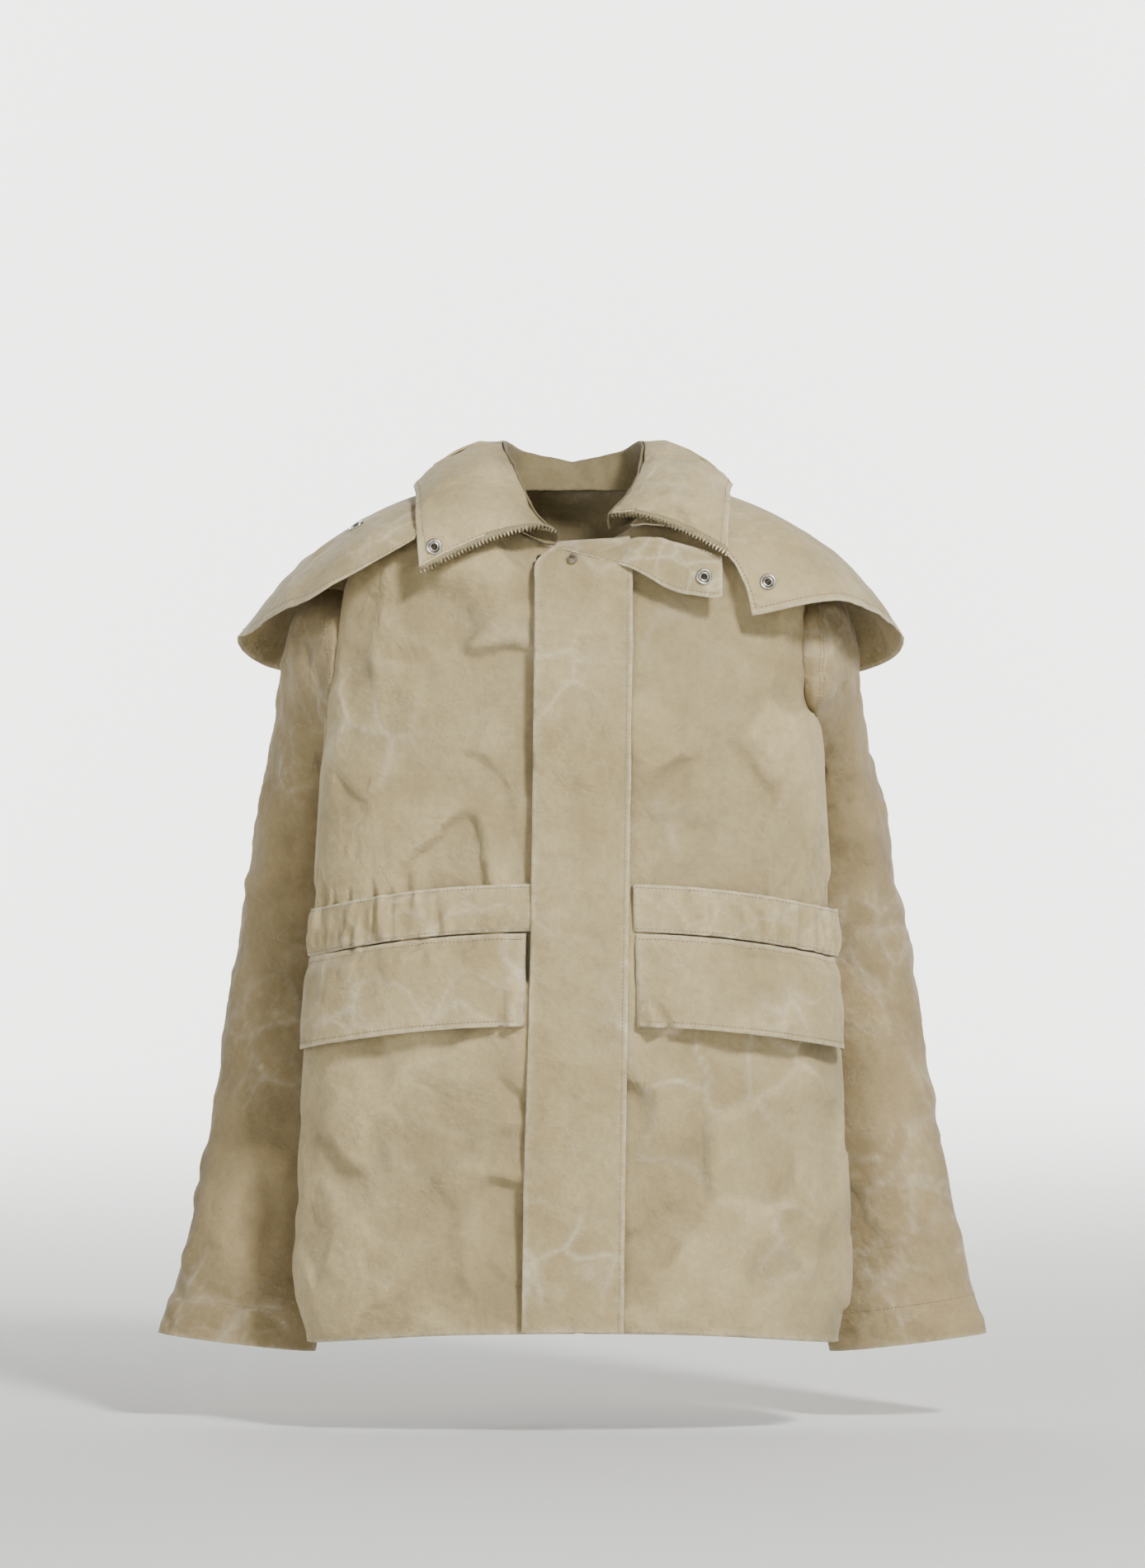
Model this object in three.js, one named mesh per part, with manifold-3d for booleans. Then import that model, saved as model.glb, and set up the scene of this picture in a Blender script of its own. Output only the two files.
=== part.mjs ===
// A canvas beekeeping jacket: a boxy body shell with a zip front and storm flap, a turned-down collar
// over a small shoulder cape, a gathered waist, two flap pockets and two hanging sleeves.
// Millimetres, +Z up, +X towards the wearer's left, -Y the front. The origin is the middle of the neck,
// level with the top of the shoulders that carry the jacket.
import * as THREE from 'three';
import { mergeVertices } from 'three/addons/utils/BufferGeometryUtils.js';
import Module from 'manifold-3d';

const wasm = await Module();
wasm.setup();

// ---- Driving sizes ----
const bodyLength = 696; // neck rest to the hem at the centre front
const hemDrop = 14; // how much lower the hem is at the side seams
const shoulderHalf = 200; // half width just under the shoulders
const chestHalf = 217; // half width at the armpits
const waistHalf = 227; // half width at the casing
const hipHalf = 243; // half width of the skirt at its fullest
const hemHalf = 234; // half width at the hem
const frontDepth = 94; // chest depth in front of the widest line
const frontSpread = 21; // how much further forward the hem stands
const backDepth = 148; // depth behind the widest line
const widestY = -35; // where the body is widest
const neckHalf = 80; // half width of the neck seam
const armpitZ = -173; // height of the armpits
const sleeveDrop = 709; // neck rest to the outer corner of the cuff
const cuffWidth = 142; // width of the flattened cuff
const canvas = 1.5; // thickness of a made-up layer of cloth
const ease = 0.4; // free space between layers that touch
const bandEase = 0.9; // free space under a band that runs round the body

// ---- Small pieces: sizes ----
const zipX = 6; // middle of the zip
const zipGap = 1.6; // free line between the two rails
const railWidth = 2.4; // width of one row of teeth
const railThick = 2.6; // thickness of one row of teeth
const tapeWidth = 12; // zip tape under the panel
const tapeThick = 0.6;
const flapWidth = 84; // storm flap, free edge to stitched edge
const flapRise = 7; // height of the storm flap over the zip
const flapEdgeRise = 5; // height of its two long edges
const flapTopZ = -68; // top of the part of the storm flap that swings
const casingHeight = 41; // height of the waist casing
const casingAboveHem = 387; // its top at the centre front, over the hem
const casingTopZ = casingAboveHem - bodyLength;
const casingSag = 24; // how much lower it is at the sides
const elasticThick = 0.6; // band inside the casing
const elasticHeight = 30;
const pocketFlapDrop = 80; // height of a pocket flap
const pocketDepth = 215; // depth of a pocket bag
const pocketBulge = 8.5; // how far a pocket bag stands off the body
const hemFacing = 28; // height of the turned-in hem
const cuffTurnIn = [0.955, 0.998]; // where the turned-in cuff starts and ends, as shares of the sleeve
// half height, half depth and middle of the armhole, and how long a bar cuts it
const armhole = { high: 84, deep: 66, middleZ: -88, bar: 90 };
const casingEnds = { left: 46, right: -10 }; // where the casing ends, from the zip
const elasticEnds = { left: 50, right: -14 }; // the same for the elastic
const snapWide = 14; // outer diameter of a snap cap
const snapTall = 3; // height of a snap cap
const hiddenSnapWide = 11; // outer diameter of a hidden snap

// ---- Colours and finishes ----
const canvasLook = new THREE.MeshStandardMaterial({ color: '#b3a688', roughness: 0.93, metalness: 0 });
const shadeLook = new THREE.MeshStandardMaterial({ color: '#8c8162', roughness: 0.95, metalness: 0 });
const tapeLook = new THREE.MeshStandardMaterial({ color: '#6d6247', roughness: 0.9, metalness: 0 });
const elasticLook = new THREE.MeshStandardMaterial({ color: '#d8d2c2', roughness: 0.9, metalness: 0 });
const nickelLook = new THREE.MeshStandardMaterial({ color: '#b9b4a8', roughness: 0.34, metalness: 1 });
const brassLook = new THREE.MeshStandardMaterial({ color: '#8f8058', roughness: 0.42, metalness: 1 });

const jacket = new THREE.Group();

function add(name, geometry, look) {
  const mesh = new THREE.Mesh(geometry, look.clone());
  mesh.name = name;
  jacket.add(mesh);
  return mesh;
}

// ---- Closed solids from bent boxes and bent rings ----

// Six times the volume that the triangles enclose, negative where they face inwards.
function signedVolume(geometry) {
  const at = geometry.attributes.position;
  const index = geometry.index;
  const a = new THREE.Vector3();
  const b = new THREE.Vector3();
  const c = new THREE.Vector3();
  let sum = 0;
  for (let i = 0; i < index.count; i += 3) {
    a.fromBufferAttribute(at, index.getX(i));
    b.fromBufferAttribute(at, index.getX(i + 1));
    c.fromBufferAttribute(at, index.getX(i + 2));
    sum += a.dot(b.cross(c));
  }
  return sum;
}

// Turns every triangle over where a mapping or a mirror has put the inside out.
function facingOut(geometry) {
  if (signedVolume(geometry) < 0) {
    const index = geometry.index;
    for (let i = 0; i < index.count; i += 3) {
      const second = index.getX(i + 1);
      index.setX(i + 1, index.getX(i + 2));
      index.setX(i + 2, second);
    }
  }
  geometry.computeVertexNormals();
  return geometry;
}

// Moves each corner of a closed geometry to place(corner).
function bent(geometry, place) {
  geometry.deleteAttribute('normal');
  geometry.deleteAttribute('uv');
  const solid = mergeVertices(geometry, 1e-5);
  const at = solid.attributes.position;
  for (let i = 0; i < at.count; i += 1) {
    const p = place(new THREE.Vector3().fromBufferAttribute(at, i));
    at.setXYZ(i, p.x, p.y, p.z);
  }
  return facingOut(solid);
}

// A sheet with thickness: place(u, v, w) takes 0 to 1 across, along and through it.
function sheet(across, along, place) {
  const box = new THREE.BoxGeometry(1, 1, 1, across, along, 1);
  return bent(box, (p) => place(p.x + 0.5, p.y + 0.5, p.z + 0.5));
}

// A tube with walls: place(angle, h, w) takes the angle round it, 0 to 1 along it and through its wall.
function tube(around, along, place) {
  const profile = [];
  for (let i = 0; i <= along; i += 1) {
    profile.push(new THREE.Vector2(2, i / along));
  }
  for (let i = along; i >= 0; i -= 1) {
    profile.push(new THREE.Vector2(1, i / along));
  }
  profile.push(profile[0].clone());
  const ring = new THREE.LatheGeometry(profile, around);
  return bent(ring, (p) => place(Math.atan2(p.x, p.z), p.y, Math.hypot(p.x, p.z) - 1));
}

function toManifold(geometry) {
  const plain = geometry.clone();
  plain.deleteAttribute('normal');
  plain.deleteAttribute('uv');
  const merged = mergeVertices(plain, 1e-5);
  const vertProperties = new Float32Array(merged.attributes.position.array);
  const triVerts = new Uint32Array(merged.index.array);
  return new wasm.Manifold(new wasm.Mesh({ numProp: 3, vertProperties, triVerts }));
}

function fromManifold(solid) {
  const mesh = solid.getMesh();
  const geometry = new THREE.BufferGeometry();
  geometry.setAttribute('position', new THREE.BufferAttribute(mesh.vertProperties, 3));
  geometry.setIndex(new THREE.BufferAttribute(mesh.triVerts, 1));
  geometry.computeVertexNormals();
  return geometry;
}

function joined(...parts) {
  return fromManifold(parts.map(toManifold).reduce((whole, next) => whole.add(next)));
}

function cut(geometry, ...tools) {
  const taken = tools.map(toManifold);
  return fromManifold(taken.reduce((whole, next) => whole.subtract(next), toManifold(geometry)));
}

function common(geometry, tool) {
  return fromManifold(toManifold(geometry).intersect(toManifold(tool)));
}

// ---- Curves ----

const mix = THREE.MathUtils.lerp;

// A smooth curve through [at, value] pairs, level past both ends.
function through(pairs) {
  const last = pairs.length - 1;
  const slope = (k) => {
    const before = pairs[Math.max(k - 1, 0)];
    const after = pairs[Math.min(k + 1, last)];
    return (after[1] - before[1]) / (after[0] - before[0]);
  };
  return (at) => {
    const here = THREE.MathUtils.clamp(at, pairs[0][0], pairs[last][0]);
    let i = 0;
    while (i < last - 1 && here > pairs[i + 1][0]) {
      i += 1;
    }
    const step = pairs[i + 1][0] - pairs[i][0];
    const t = (here - pairs[i][0]) / step;
    const rise = pairs[i + 1][1] - pairs[i][1];
    const first = slope(i) * step;
    const second = slope(i + 1) * step;
    return pairs[i][1] + t * first + t * t * (3 * rise - 2 * first - second)
      + t * t * t * (first + second - 2 * rise);
  };
}

function spline(...points) {
  return new THREE.CatmullRomCurve3(points.map((p) => new THREE.Vector3(...p)), false, 'catmullrom', 0.5);
}

function onSpline(curve, t) {
  return curve.getPoint(THREE.MathUtils.clamp(t, 0, 1));
}

// A point of surface(u, v), raised along its normal.
function raised(surface, u, v, height, stepU, stepV) {
  const here = surface(u, v);
  const across = surface(u + stepU, v).sub(surface(u - stepU, v));
  const along = surface(u, v + stepV).sub(surface(u, v - stepV));
  return here.addScaledVector(across.cross(along).normalize(), height);
}

// ---- The body shell ----
// The level is the height up to the yoke line; above it, levels up to 0 run over the shoulders to the
// neck seam. The angle is 0 at the centre front, 90 degrees at the wearer's left, 180 at the centre back.

const yokeLevel = -60;
const hemLevel = -bodyLength;
const hipLevel = hemLevel + 56;
const waistLevel = casingTopZ - casingHeight;
const halfWidth = through([
  [hemLevel, hemHalf],
  [hipLevel, hipHalf],
  [mix(hipLevel, waistLevel, 0.64), mix(hipHalf, waistHalf, 0.62)],
  [waistLevel, waistHalf],
  [mix(waistLevel, armpitZ, 0.64), mix(waistHalf, chestHalf, 0.3)],
  [armpitZ, chestHalf],
  [yokeLevel, shoulderHalf],
  [yokeLevel / 1.5, shoulderHalf - 10],
  [yokeLevel / 3, mix(neckHalf, shoulderHalf, 0.48)],
  [0, neckHalf],
]);
const frontReach = through([
  [hemLevel, frontDepth + frontSpread],
  [yokeLevel, frontDepth],
  [yokeLevel / 1.5, frontDepth - 2],
  [yokeLevel / 3, frontDepth - 12],
  [0, frontDepth - 31],
]);
const backReach = through([
  [hemLevel, backDepth + 2],
  [waistLevel, backDepth - 8],
  [armpitZ, backDepth + 2],
  [yokeLevel, backDepth - 2],
  [yokeLevel / 1.5, backDepth - 8],
  [yokeLevel / 3, backDepth - 23],
  [0, backDepth - 53],
]);
const climb = through([[0, 0], [0.333, 0.49], [0.667, 0.82], [1, 1]]);
const frontBox = 2.6; // how boxy the front half of a section is
const backBox = through([[-230, 1.7], [-150, 2.2], [-90, 2.6]]); // the back half, by level
const neckSideZ = 38;
const neckFrontZ = -15;
const neckBackZ = 40;

const power = (value, exponent) => Math.sign(value) * Math.abs(value) ** exponent;

function bodyHeight(angle, level) {
  const sideways = Math.sin(angle) ** 2;
  if (level <= yokeLevel) {
    const drop = hemDrop * sideways * THREE.MathUtils.smoothstep(-level, 450, bodyLength);
    return level - drop;
  }
  const middle = Math.cos(angle) > 0 ? neckFrontZ : neckBackZ;
  const top = mix(middle, neckSideZ, sideways);
  return yokeLevel + (top - yokeLevel) * climb(1 - level / yokeLevel);
}

function body(angle, level) {
  const safe = THREE.MathUtils.clamp(level, hemLevel, 0);
  const forward = Math.cos(angle) > 0;
  const box = forward ? frontBox : backBox(safe);
  const reach = forward ? frontReach(safe) : backReach(safe);
  return new THREE.Vector3(
    halfWidth(safe) * power(Math.sin(angle), 2 / box),
    widestY - reach * power(Math.cos(angle), 2 / box),
    bodyHeight(angle, safe),
  );
}

// The angle at which the front half of the shell is x wide at a level.
function angleAt(x, level) {
  const share = Math.min(Math.abs(x) / halfWidth(level), 1);
  return Math.sign(x) * Math.asin(share ** (frontBox / 2));
}

function onBody(angle, level, height) {
  return raised(body, angle, level, height, 0.002, 0.5);
}

// The same, at width x of the front.
function onFront(x, level, height) {
  return raised((across, up) => body(angleAt(across, up), up), x, level, height, 0.2, 0.5);
}

const degrees = THREE.MathUtils.degToRad;

// ---- Body panels ----

// The hole that a sleeve is set into, as an elliptical bar across the shoulder.
function armholeBar(side) {
  const bar = new THREE.CylinderGeometry(1, 1, armhole.bar, 28);
  bar.rotateZ(Math.PI / 2);
  bar.scale(1, armhole.deep, armhole.high);
  bar.translate(side * chestHalf, 0, armhole.middleZ);
  return bar;
}

function panel(from, to, across) {
  return sheet(across, 16, (u, v, w) => {
    const level = hemLevel * (1 - v) ** 1.2;
    const start = from(level);
    const end = to(level);
    return onBody(mix(start, end, u), level, -canvas * (1 - w));
  });
}

const sideSeam = degrees(93);
const seamSlit = degrees(0.2);
const railReach = zipGap / 2 + railWidth + ease;
const rightEdge = (level) => angleAt(zipX - railReach, level);
const leftEdge = (level) => angleAt(zipX + railReach, level);

add('front_panel_right', cut(panel(() => -sideSeam, rightEdge, 12), armholeBar(-1)), canvasLook);
add('front_panel_left', cut(panel(leftEdge, () => sideSeam, 12), armholeBar(1)), canvasLook);
add('back_panel', cut(
  panel(() => sideSeam + seamSlit, () => 2 * Math.PI - sideSeam - seamSlit, 24),
  armholeBar(-1),
  armholeBar(1),
), canvasLook);

// The turned-in hem runs round the inside from one front edge to the other.
add('hem_facing', sheet(64, 2, (u, v, w) => {
  const start = angleAt(zipX + 16, hemLevel);
  const end = 2 * Math.PI + angleAt(zipX - 16, hemLevel);
  const level = hemLevel + 1 + v * hemFacing;
  return onBody(mix(start, end, u), level, -canvas * (2 - w) - 2 * bandEase);
}), shadeLook);

// ---- Gathered waist ----

function waistTop(angle) {
  return casingTopZ - casingSag * Math.sin(angle) ** 2;
}

// A band round the body from the storm flap's seam, by the back, to the other front edge.
function band(bottomGap, height, low, thick, fromX, toX, across) {
  return sheet(across, 1, (u, v, w) => {
    const start = angleAt(fromX, waistLevel);
    const end = 2 * Math.PI + angleAt(toX, waistLevel);
    const angle = mix(start, end, u);
    const level = waistTop(angle) - casingHeight + bottomGap + v * height;
    return onBody(angle, level, low + w * thick);
  });
}

const casingLow = bandEase + elasticThick + ease;
const casingHigh = casingLow + canvas;
const casingInset = (casingHeight - elasticHeight) / 2;
const casingStart = zipX + casingEnds.left;
const casingStop = zipX + casingEnds.right;
const elasticStart = zipX + elasticEnds.left;
const elasticStop = zipX + elasticEnds.right;
const casingBand = band(0, casingHeight, casingLow, canvas, casingStart, casingStop, 52);
const elasticBand = band(casingInset, elasticHeight, bandEase, elasticThick, elasticStart, elasticStop, 52);
add('waist_casing', casingBand, canvasLook);
add('waist_elastic', elasticBand, elasticLook);

// ---- Zip ----

const zipTop = yokeLevel - 4;
const zipBottom = hemLevel + 12;

function zipRail(side) {
  const inner = zipGap / 2;
  const bar = sheet(1, 16, (u, v, w) => {
    const x = zipX + side * (inner + u * railWidth);
    return onFront(x, mix(zipBottom, zipTop, v), -canvas / 2 - railThick * (0.5 - w));
  });
  const tape = sheet(1, 16, (u, v, w) => {
    const x = zipX + side * (inner + railWidth / 2 + u * tapeWidth);
    return onFront(x, mix(zipBottom, zipTop, v), -canvas - ease - tapeThick * (1 - w));
  });
  return joined(bar, tape);
}

add('zip_rail_right', zipRail(-1), brassLook);
add('zip_rail_left', zipRail(1), brassLook);

// The slider: a plate before and a plate behind the rails, joined by a post in the free line between them,
// with the pull hanging down its front.
const sliderWidth = 9;
const sliderHeight = 11;
const sliderPlate = 1;
const sliderZ = -150;
const pullLength = 26;
const pullWidth = 5;
const railMiddle = -canvas / 2;

function zipSlider() {
  const foot = onFront(zipX, sliderZ, railMiddle);
  const half = railThick / 2 + ease + 0.1;
  const behind = canvas + ease + tapeThick + ease + 0.4 + railMiddle;
  const slope = Math.atan2(frontSpread, bodyLength + yokeLevel);
  const front = new THREE.BoxGeometry(sliderWidth, sliderPlate, sliderHeight);
  front.translate(0, -half - sliderPlate / 2, 0);
  const back = new THREE.BoxGeometry(sliderWidth, sliderPlate, sliderHeight);
  back.translate(0, behind + sliderPlate / 2, 0);
  const post = new THREE.BoxGeometry(zipGap - 2 * ease, behind + half + sliderPlate, sliderHeight * 0.6);
  post.translate(0, (behind - half) / 2, 0);
  const pull = new THREE.BoxGeometry(pullWidth, sliderPlate, pullLength);
  pull.translate(0, -half - sliderPlate * 1.4, -pullLength / 2 + sliderHeight / 4);
  const whole = joined(front, back, post, pull);
  whole.rotateX(-slope);
  whole.translate(foot.x, foot.y, foot.z);
  return whole;
}

add('zip_slider', zipSlider(), nickelLook);

// The box that holds the two rails together at the hem.
const zipBox = new THREE.BoxGeometry(2 * (zipGap / 2 + railWidth), 3, 9);
const boxFoot = onFront(zipX, zipBottom - 5, railMiddle);
zipBox.translate(boxFoot.x, boxFoot.y, boxFoot.z);
add('zip_box', zipBox, nickelLook);

// ---- Storm flap ----

const flapHeight = (u) => flapEdgeRise + (flapRise - flapEdgeRise) * Math.sin(Math.PI * u);
const flapBottom = hemLevel + 1;
const stitchedX = through([[hemLevel, 43.5], [yokeLevel, 51.5], [0, 50]]);
const freeX = (level) => stitchedX(level) - flapWidth
  - 3 * THREE.MathUtils.smoothstep(-level, 350, 600);

function flapPart(low, high, along) {
  return sheet(8, along, (u, v, w) => {
    const level = mix(low, high, v);
    const x = mix(freeX(level), stitchedX(level), u);
    return onFront(x, level, flapHeight(u) + w * canvas);
  });
}

add('storm_flap', flapPart(flapBottom, flapTopZ, 18), canvasLook);
add('storm_flap_head', sheet(8, 3, (u, v, w) => {
  const top = mix(-24, -10, u);
  const level = mix(flapTopZ + 2 * ease, top, v);
  const x = mix(mix(freeX(level), -14, v * v), stitchedX(level), u);
  return onFront(x, level, flapHeight(u) + w * canvas);
}), canvasLook);

// Hidden snaps: a stud on the right front panel and a socket on the back of the flap.
const hiddenSnapZ = [-168, -338, hemLevel + 184, hemLevel + 34];
const studBase = 0.8;
const studTall = 1.6;
const socketTall = 1.4;
const snapInset = 13;

// A turned piece standing between two points of one normal, its axis through both.
function turnedBetween(profile, foot, above, sides) {
  const turned = new THREE.LatheGeometry(profile.map((p) => new THREE.Vector2(...p)), sides);
  const out = above.clone().sub(foot).normalize();
  const turn = new THREE.Quaternion().setFromUnitVectors(new THREE.Vector3(0, 1, 0), out);
  return bent(turned, (p) => p.applyQuaternion(turn).add(foot));
}

// A turned piece standing on the body at x and a level, its foot raised by height.
function turnedOn(profile, x, level, height, sides) {
  return turnedBetween(profile, onFront(x, level, height), onFront(x, level, height + 1), sides);
}

hiddenSnapZ.forEach((level, i) => {
  const x = freeX(level) + snapInset;
  const half = hiddenSnapWide / 2;
  const room = flapHeight(snapInset / flapWidth) - ease - 0.4;
  const overBand = i === 1;
  const stud = overBand
    ? [[0, 0], [2, 0], [2, socketTall], [0, socketTall]]
    : [[0, 0], [half, 0], [half, studBase], [2, studBase], [2, studTall], [0, studTall]];
  add(`storm_stud_${i + 1}`, turnedOn(stud, x, level, overBand ? casingHigh + ease : ease, 16), nickelLook);
  add(`storm_socket_${i + 1}`, turnedOn([
    [2.5, 0], [half, 0], [half, socketTall], [2.5, socketTall], [2.5, 0],
  ], x, level, room - socketTall, 16), nickelLook);
});

// ---- Pockets ----

// the right pocket starts just past the free edge of the storm flap, the left one by its seam
const flapSeamX = 44;
const pocketInnerX = { right: flapSeamX - flapWidth, left: flapSeamX + 10 };

function flapTopLevel(angle) {
  return waistTop(angle) - casingHeight - 1.5;
}

function pocketBag(side, innerX) {
  return sheet(12, 8, (u, v, w) => {
    const inner = angleAt(innerX, waistLevel);
    const angle = mix(inner, side * degrees(66), u);
    const top = flapTopLevel(angle) - 34;
    const level = mix(top - pocketDepth, top, v);
    const pillow = Math.sin(Math.PI * u) ** 0.5 * Math.sin(Math.PI * Math.min(v, 0.5)) ** 0.5;
    return onBody(angle, level, ease + pocketBulge * pillow + w * canvas);
  });
}

function pocketFlap(side, innerX) {
  return sheet(14, 5, (u, v, w) => {
    const inner = angleAt(innerX, waistLevel);
    const angle = mix(inner, side * degrees(82), u);
    const top = flapTopLevel(angle);
    const level = mix(top - pocketFlapDrop, top, v);
    const lift = THREE.MathUtils.smoothstep(1 - v, 0, 0.22) * Math.sin(Math.PI * u) ** 0.4;
    const stand = casingLow + 1 + (pocketBulge + 2) * lift;
    return onBody(angle, level, stand + w * canvas);
  });
}

add('pocket_bag_right', pocketBag(-1, pocketInnerX.right), canvasLook);
add('pocket_bag_left', pocketBag(1, pocketInnerX.left), canvasLook);
add('pocket_flap_right', pocketFlap(-1, pocketInnerX.right), canvasLook);
add('pocket_flap_left', pocketFlap(1, pocketInnerX.left + 1), canvasLook);

// ---- Outer collar: a cape over the shoulders ----
// Each line runs from the neck seam, over a roll, to the free edge. The lines start at the front edge and
// go round the wearer's left (or right) shoulder to the centre back.

const capeNeck = spline([50, -106, 0], [80, -64, 31.2], [84, -8, 42.7], [69, 45, 44.3], [0, 68, 43.3]);
const capeRoll = {
  left: spline([143, -124, 6], [194, -88, 18], [222, 0, 19], [186, 94, 20], [0, 142, 18]),
  right: spline([122, -122, 14], [186, -90, 20], [222, 0, 19], [186, 94, 20], [0, 142, 18]),
};
const capeEdge = {
  left: spline([155, -126, -78], [236, -112, -66], [292, 12, -100], [228, 118, -128], [0, 156, -134]),
  right: spline([136, -124, -12], [226, -116, -62], [292, 12, -100], [228, 118, -128], [0, 156, -134]),
};
const capeSplit = 137.7; // distance from the middle where a wing starts
const capeThick = canvas;
const big = 900;

function rolled(start, middle, end, t) {
  return new THREE.QuadraticBezierCurve3(start, middle, end).getPoint(t);
}

function capeAt(side, u, v) {
  const name = side > 0 ? 'left' : 'right';
  const p = rolled(onSpline(capeNeck, u), onSpline(capeRoll[name], u), onSpline(capeEdge[name], u), v);
  p.x *= side;
  return p;
}

// The cape from the right front edge (u = 0) over the back (u = 1) to the left front edge (u = 2).
function cape(u, v) {
  return u <= 1 ? capeAt(-1, u, v) : capeAt(1, 2 - u, v);
}

const wholeCape = sheet(36, 6, (u, v, w) => raised(
  cape,
  mix(0.004, 1.996, u),
  mix(0.01, 0.99, v),
  w * capeThick,
  0.004,
  0.01,
));

function block(fromX, toX) {
  const box = new THREE.BoxGeometry(toX - fromX, big, big);
  box.translate((fromX + toX) / 2, 0, 0);
  return box;
}

add('cape_center', common(wholeCape, block(-capeSplit, capeSplit)), canvasLook);
add('cape_wing_left', common(wholeCape, block(capeSplit + 2 * ease, big)), canvasLook);
add('cape_wing_right', common(wholeCape, block(-big, -capeSplit - 2 * ease)), canvasLook);

// ---- Turned-down collar ----

const foldLine = {
  right: spline([-12, -114, -5], [-32, -100, 13], [-50, -64, 52], [-61, 4, 79], [-42, 54, 72], [0, 72, 64]),
  left: spline([31, -104, 11], [48, -82, 30], [60, -44, 54], [61, 4, 79], [42, 54, 72], [0, 72, 64]),
};
const leafRoll = {
  right: spline(
    [-52, -128, 8], [-84, -122, 26], [-98, -66, 62],
    [-104, 0, 74], [-70, 86, 66], [0, 108, 60],
  ),
  left: spline([80, -124, 12], [88, -112, 32], [98, -66, 60], [104, 0, 74], [70, 86, 66], [0, 108, 60]),
};
const leafEdge = {
  right: spline(
    [-132, -132, -38], [-134, -124, -6], [-135, -86, 24],
    [-135, 0, 40], [-106, 94, 27], [0, 132, 12],
  ),
  left: spline([134, -132, -23], [134, -122, 4], [135, -86, 24], [135, 0, 40], [106, 94, 27], [0, 132, 12]),
};
const leafRest = 3.2; // how far the leaf lies above the cape
const foldRest = -0.15; // the same at the fold
const leafEnd = 0.56; // share of the half collar that a leaf takes

function leafAt(side, u, v) {
  const name = side > 0 ? 'left' : 'right';
  return rolled(onSpline(foldLine[name], u), onSpline(leafRoll[name], u), onSpline(leafEdge[name], u), v);
}

function restAt(v) {
  return mix(foldRest, leafRest, THREE.MathUtils.smoothstep(v, 0, 0.25));
}

function leafSheet(side, from, to, across) {
  return sheet(across, 6, (u, v, w) => raised(
    (a, b) => leafAt(side, a, b),
    mix(from, to, u),
    mix(0.04, 0.995, v),
    -side * (restAt(v) + w * canvas),
    0.004,
    0.01,
  ));
}

add('collar_leaf_right', leafSheet(-1, 0.005, leafEnd - 0.012, 12), canvasLook);
add('collar_leaf_left', leafSheet(1, 0.005, leafEnd - 0.012, 12), canvasLook);

// The back of the collar, one piece from leaf to leaf.
function backFallAt(a, b) {
  return a <= 1 ? leafAt(-1, a, b) : leafAt(1, 2 - a, b);
}

add('collar_back_fall', sheet(16, 6, (u, v, w) => raised(
  backFallAt,
  mix(leafEnd, 2 - leafEnd, u),
  mix(0.04, 0.995, v),
  restAt(v) + w * canvas,
  0.004,
  0.01,
)), canvasLook);

// The stand: from the neck seam up the inside to the roll line.
const standFoot = {
  right: spline(
    [-13, -104, -12], [-36, -90, -4], [-66, -56, 20],
    [-76, 0, 40.3], [-58, 40, 42.2], [0, 58, 42.2],
  ),
  left: spline([32, -94, 0], [48, -76, 8], [66, -52, 22], [76, 0, 40.3], [58, 40, 42.2], [0, 58, 42.2]),
};

function standAt(a, b) {
  const side = a <= 1 ? 'right' : 'left';
  const along = a <= 1 ? a : 2 - a;
  return onSpline(standFoot[side], along).lerp(onSpline(foldLine[side], along), b);
}

add('collar_stand', sheet(36, 3, (u, v, w) => raised(
  standAt,
  mix(0.01, 1.99, u),
  mix(0.0, 0.985, v),
  -canvas * (1 - w) - 0.8,
  0.004,
  0.01,
)), shadeLook);

// ---- Sleeves ----
// Each ring is [outer x, outer z, inner x, inner z, middle y, half depth].
const sleeveRings = [
  [212.3, -52, 219.3, -184, 4, 74],
  [238, -60, 221, -194, 20, 74],
  [254, -104, 216, -208, 40, 72],
  [264, -167, 205, -232, 62, 68],
  [280, -247, 192, -282, 76, 66],
  [294, -333, 186, -352, 82, 63],
  [305, -396, 187, -420, 82, 62],
  [318, -475, 193, -502, 76, 58],
  [338, -583, 207, -606, 62, 50],
  [357, -671, 219, -690, 48, 42],
  [369, -sleeveDrop, 369 - cuffWidth, -sleeveDrop - 17, 42, 36],
];

function sleeveCurve(angle) {
  const points = sleeveRings.map(([outX, outZ, inX, inZ, y, depth]) => {
    const across = (1 + Math.cos(angle)) / 2;
    return [mix(inX, outX, across), y + depth * Math.sin(angle), mix(inZ, outZ, across)];
  });
  return spline(...points);
}

const sleeveSides = 20; // flats round a sleeve

// A layer of the sleeve: from and to are shares of its length, low and high its two faces.
function sleeveLayer(side, along, [from, to], [low, high]) {
  const curves = new Map();
  const at = (angle, h) => {
    const key = angle.toFixed(5);
    if (!curves.has(key)) {
      curves.set(key, sleeveCurve(angle));
    }
    const p = onSpline(curves.get(key), h);
    p.x *= side;
    return p;
  };
  return tube(sleeveSides, along, (angle, h, w) => raised(
    at,
    angle,
    mix(from, to, h),
    side * mix(low, high, w),
    0.01,
    0.002,
  ));
}

for (const [name, side] of [['right', -1], ['left', 1]]) {
  const facingFaces = [-2 * canvas - bandEase, -canvas - bandEase];
  add(`sleeve_${name}`, sleeveLayer(side, 15, [0, 1], [-canvas, 0]), canvasLook);
  add(`cuff_facing_${name}`, sleeveLayer(side, 1, cuffTurnIn, facingFaces), shadeLook);
}

// ---- Turned-back top of the storm flap ----

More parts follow.
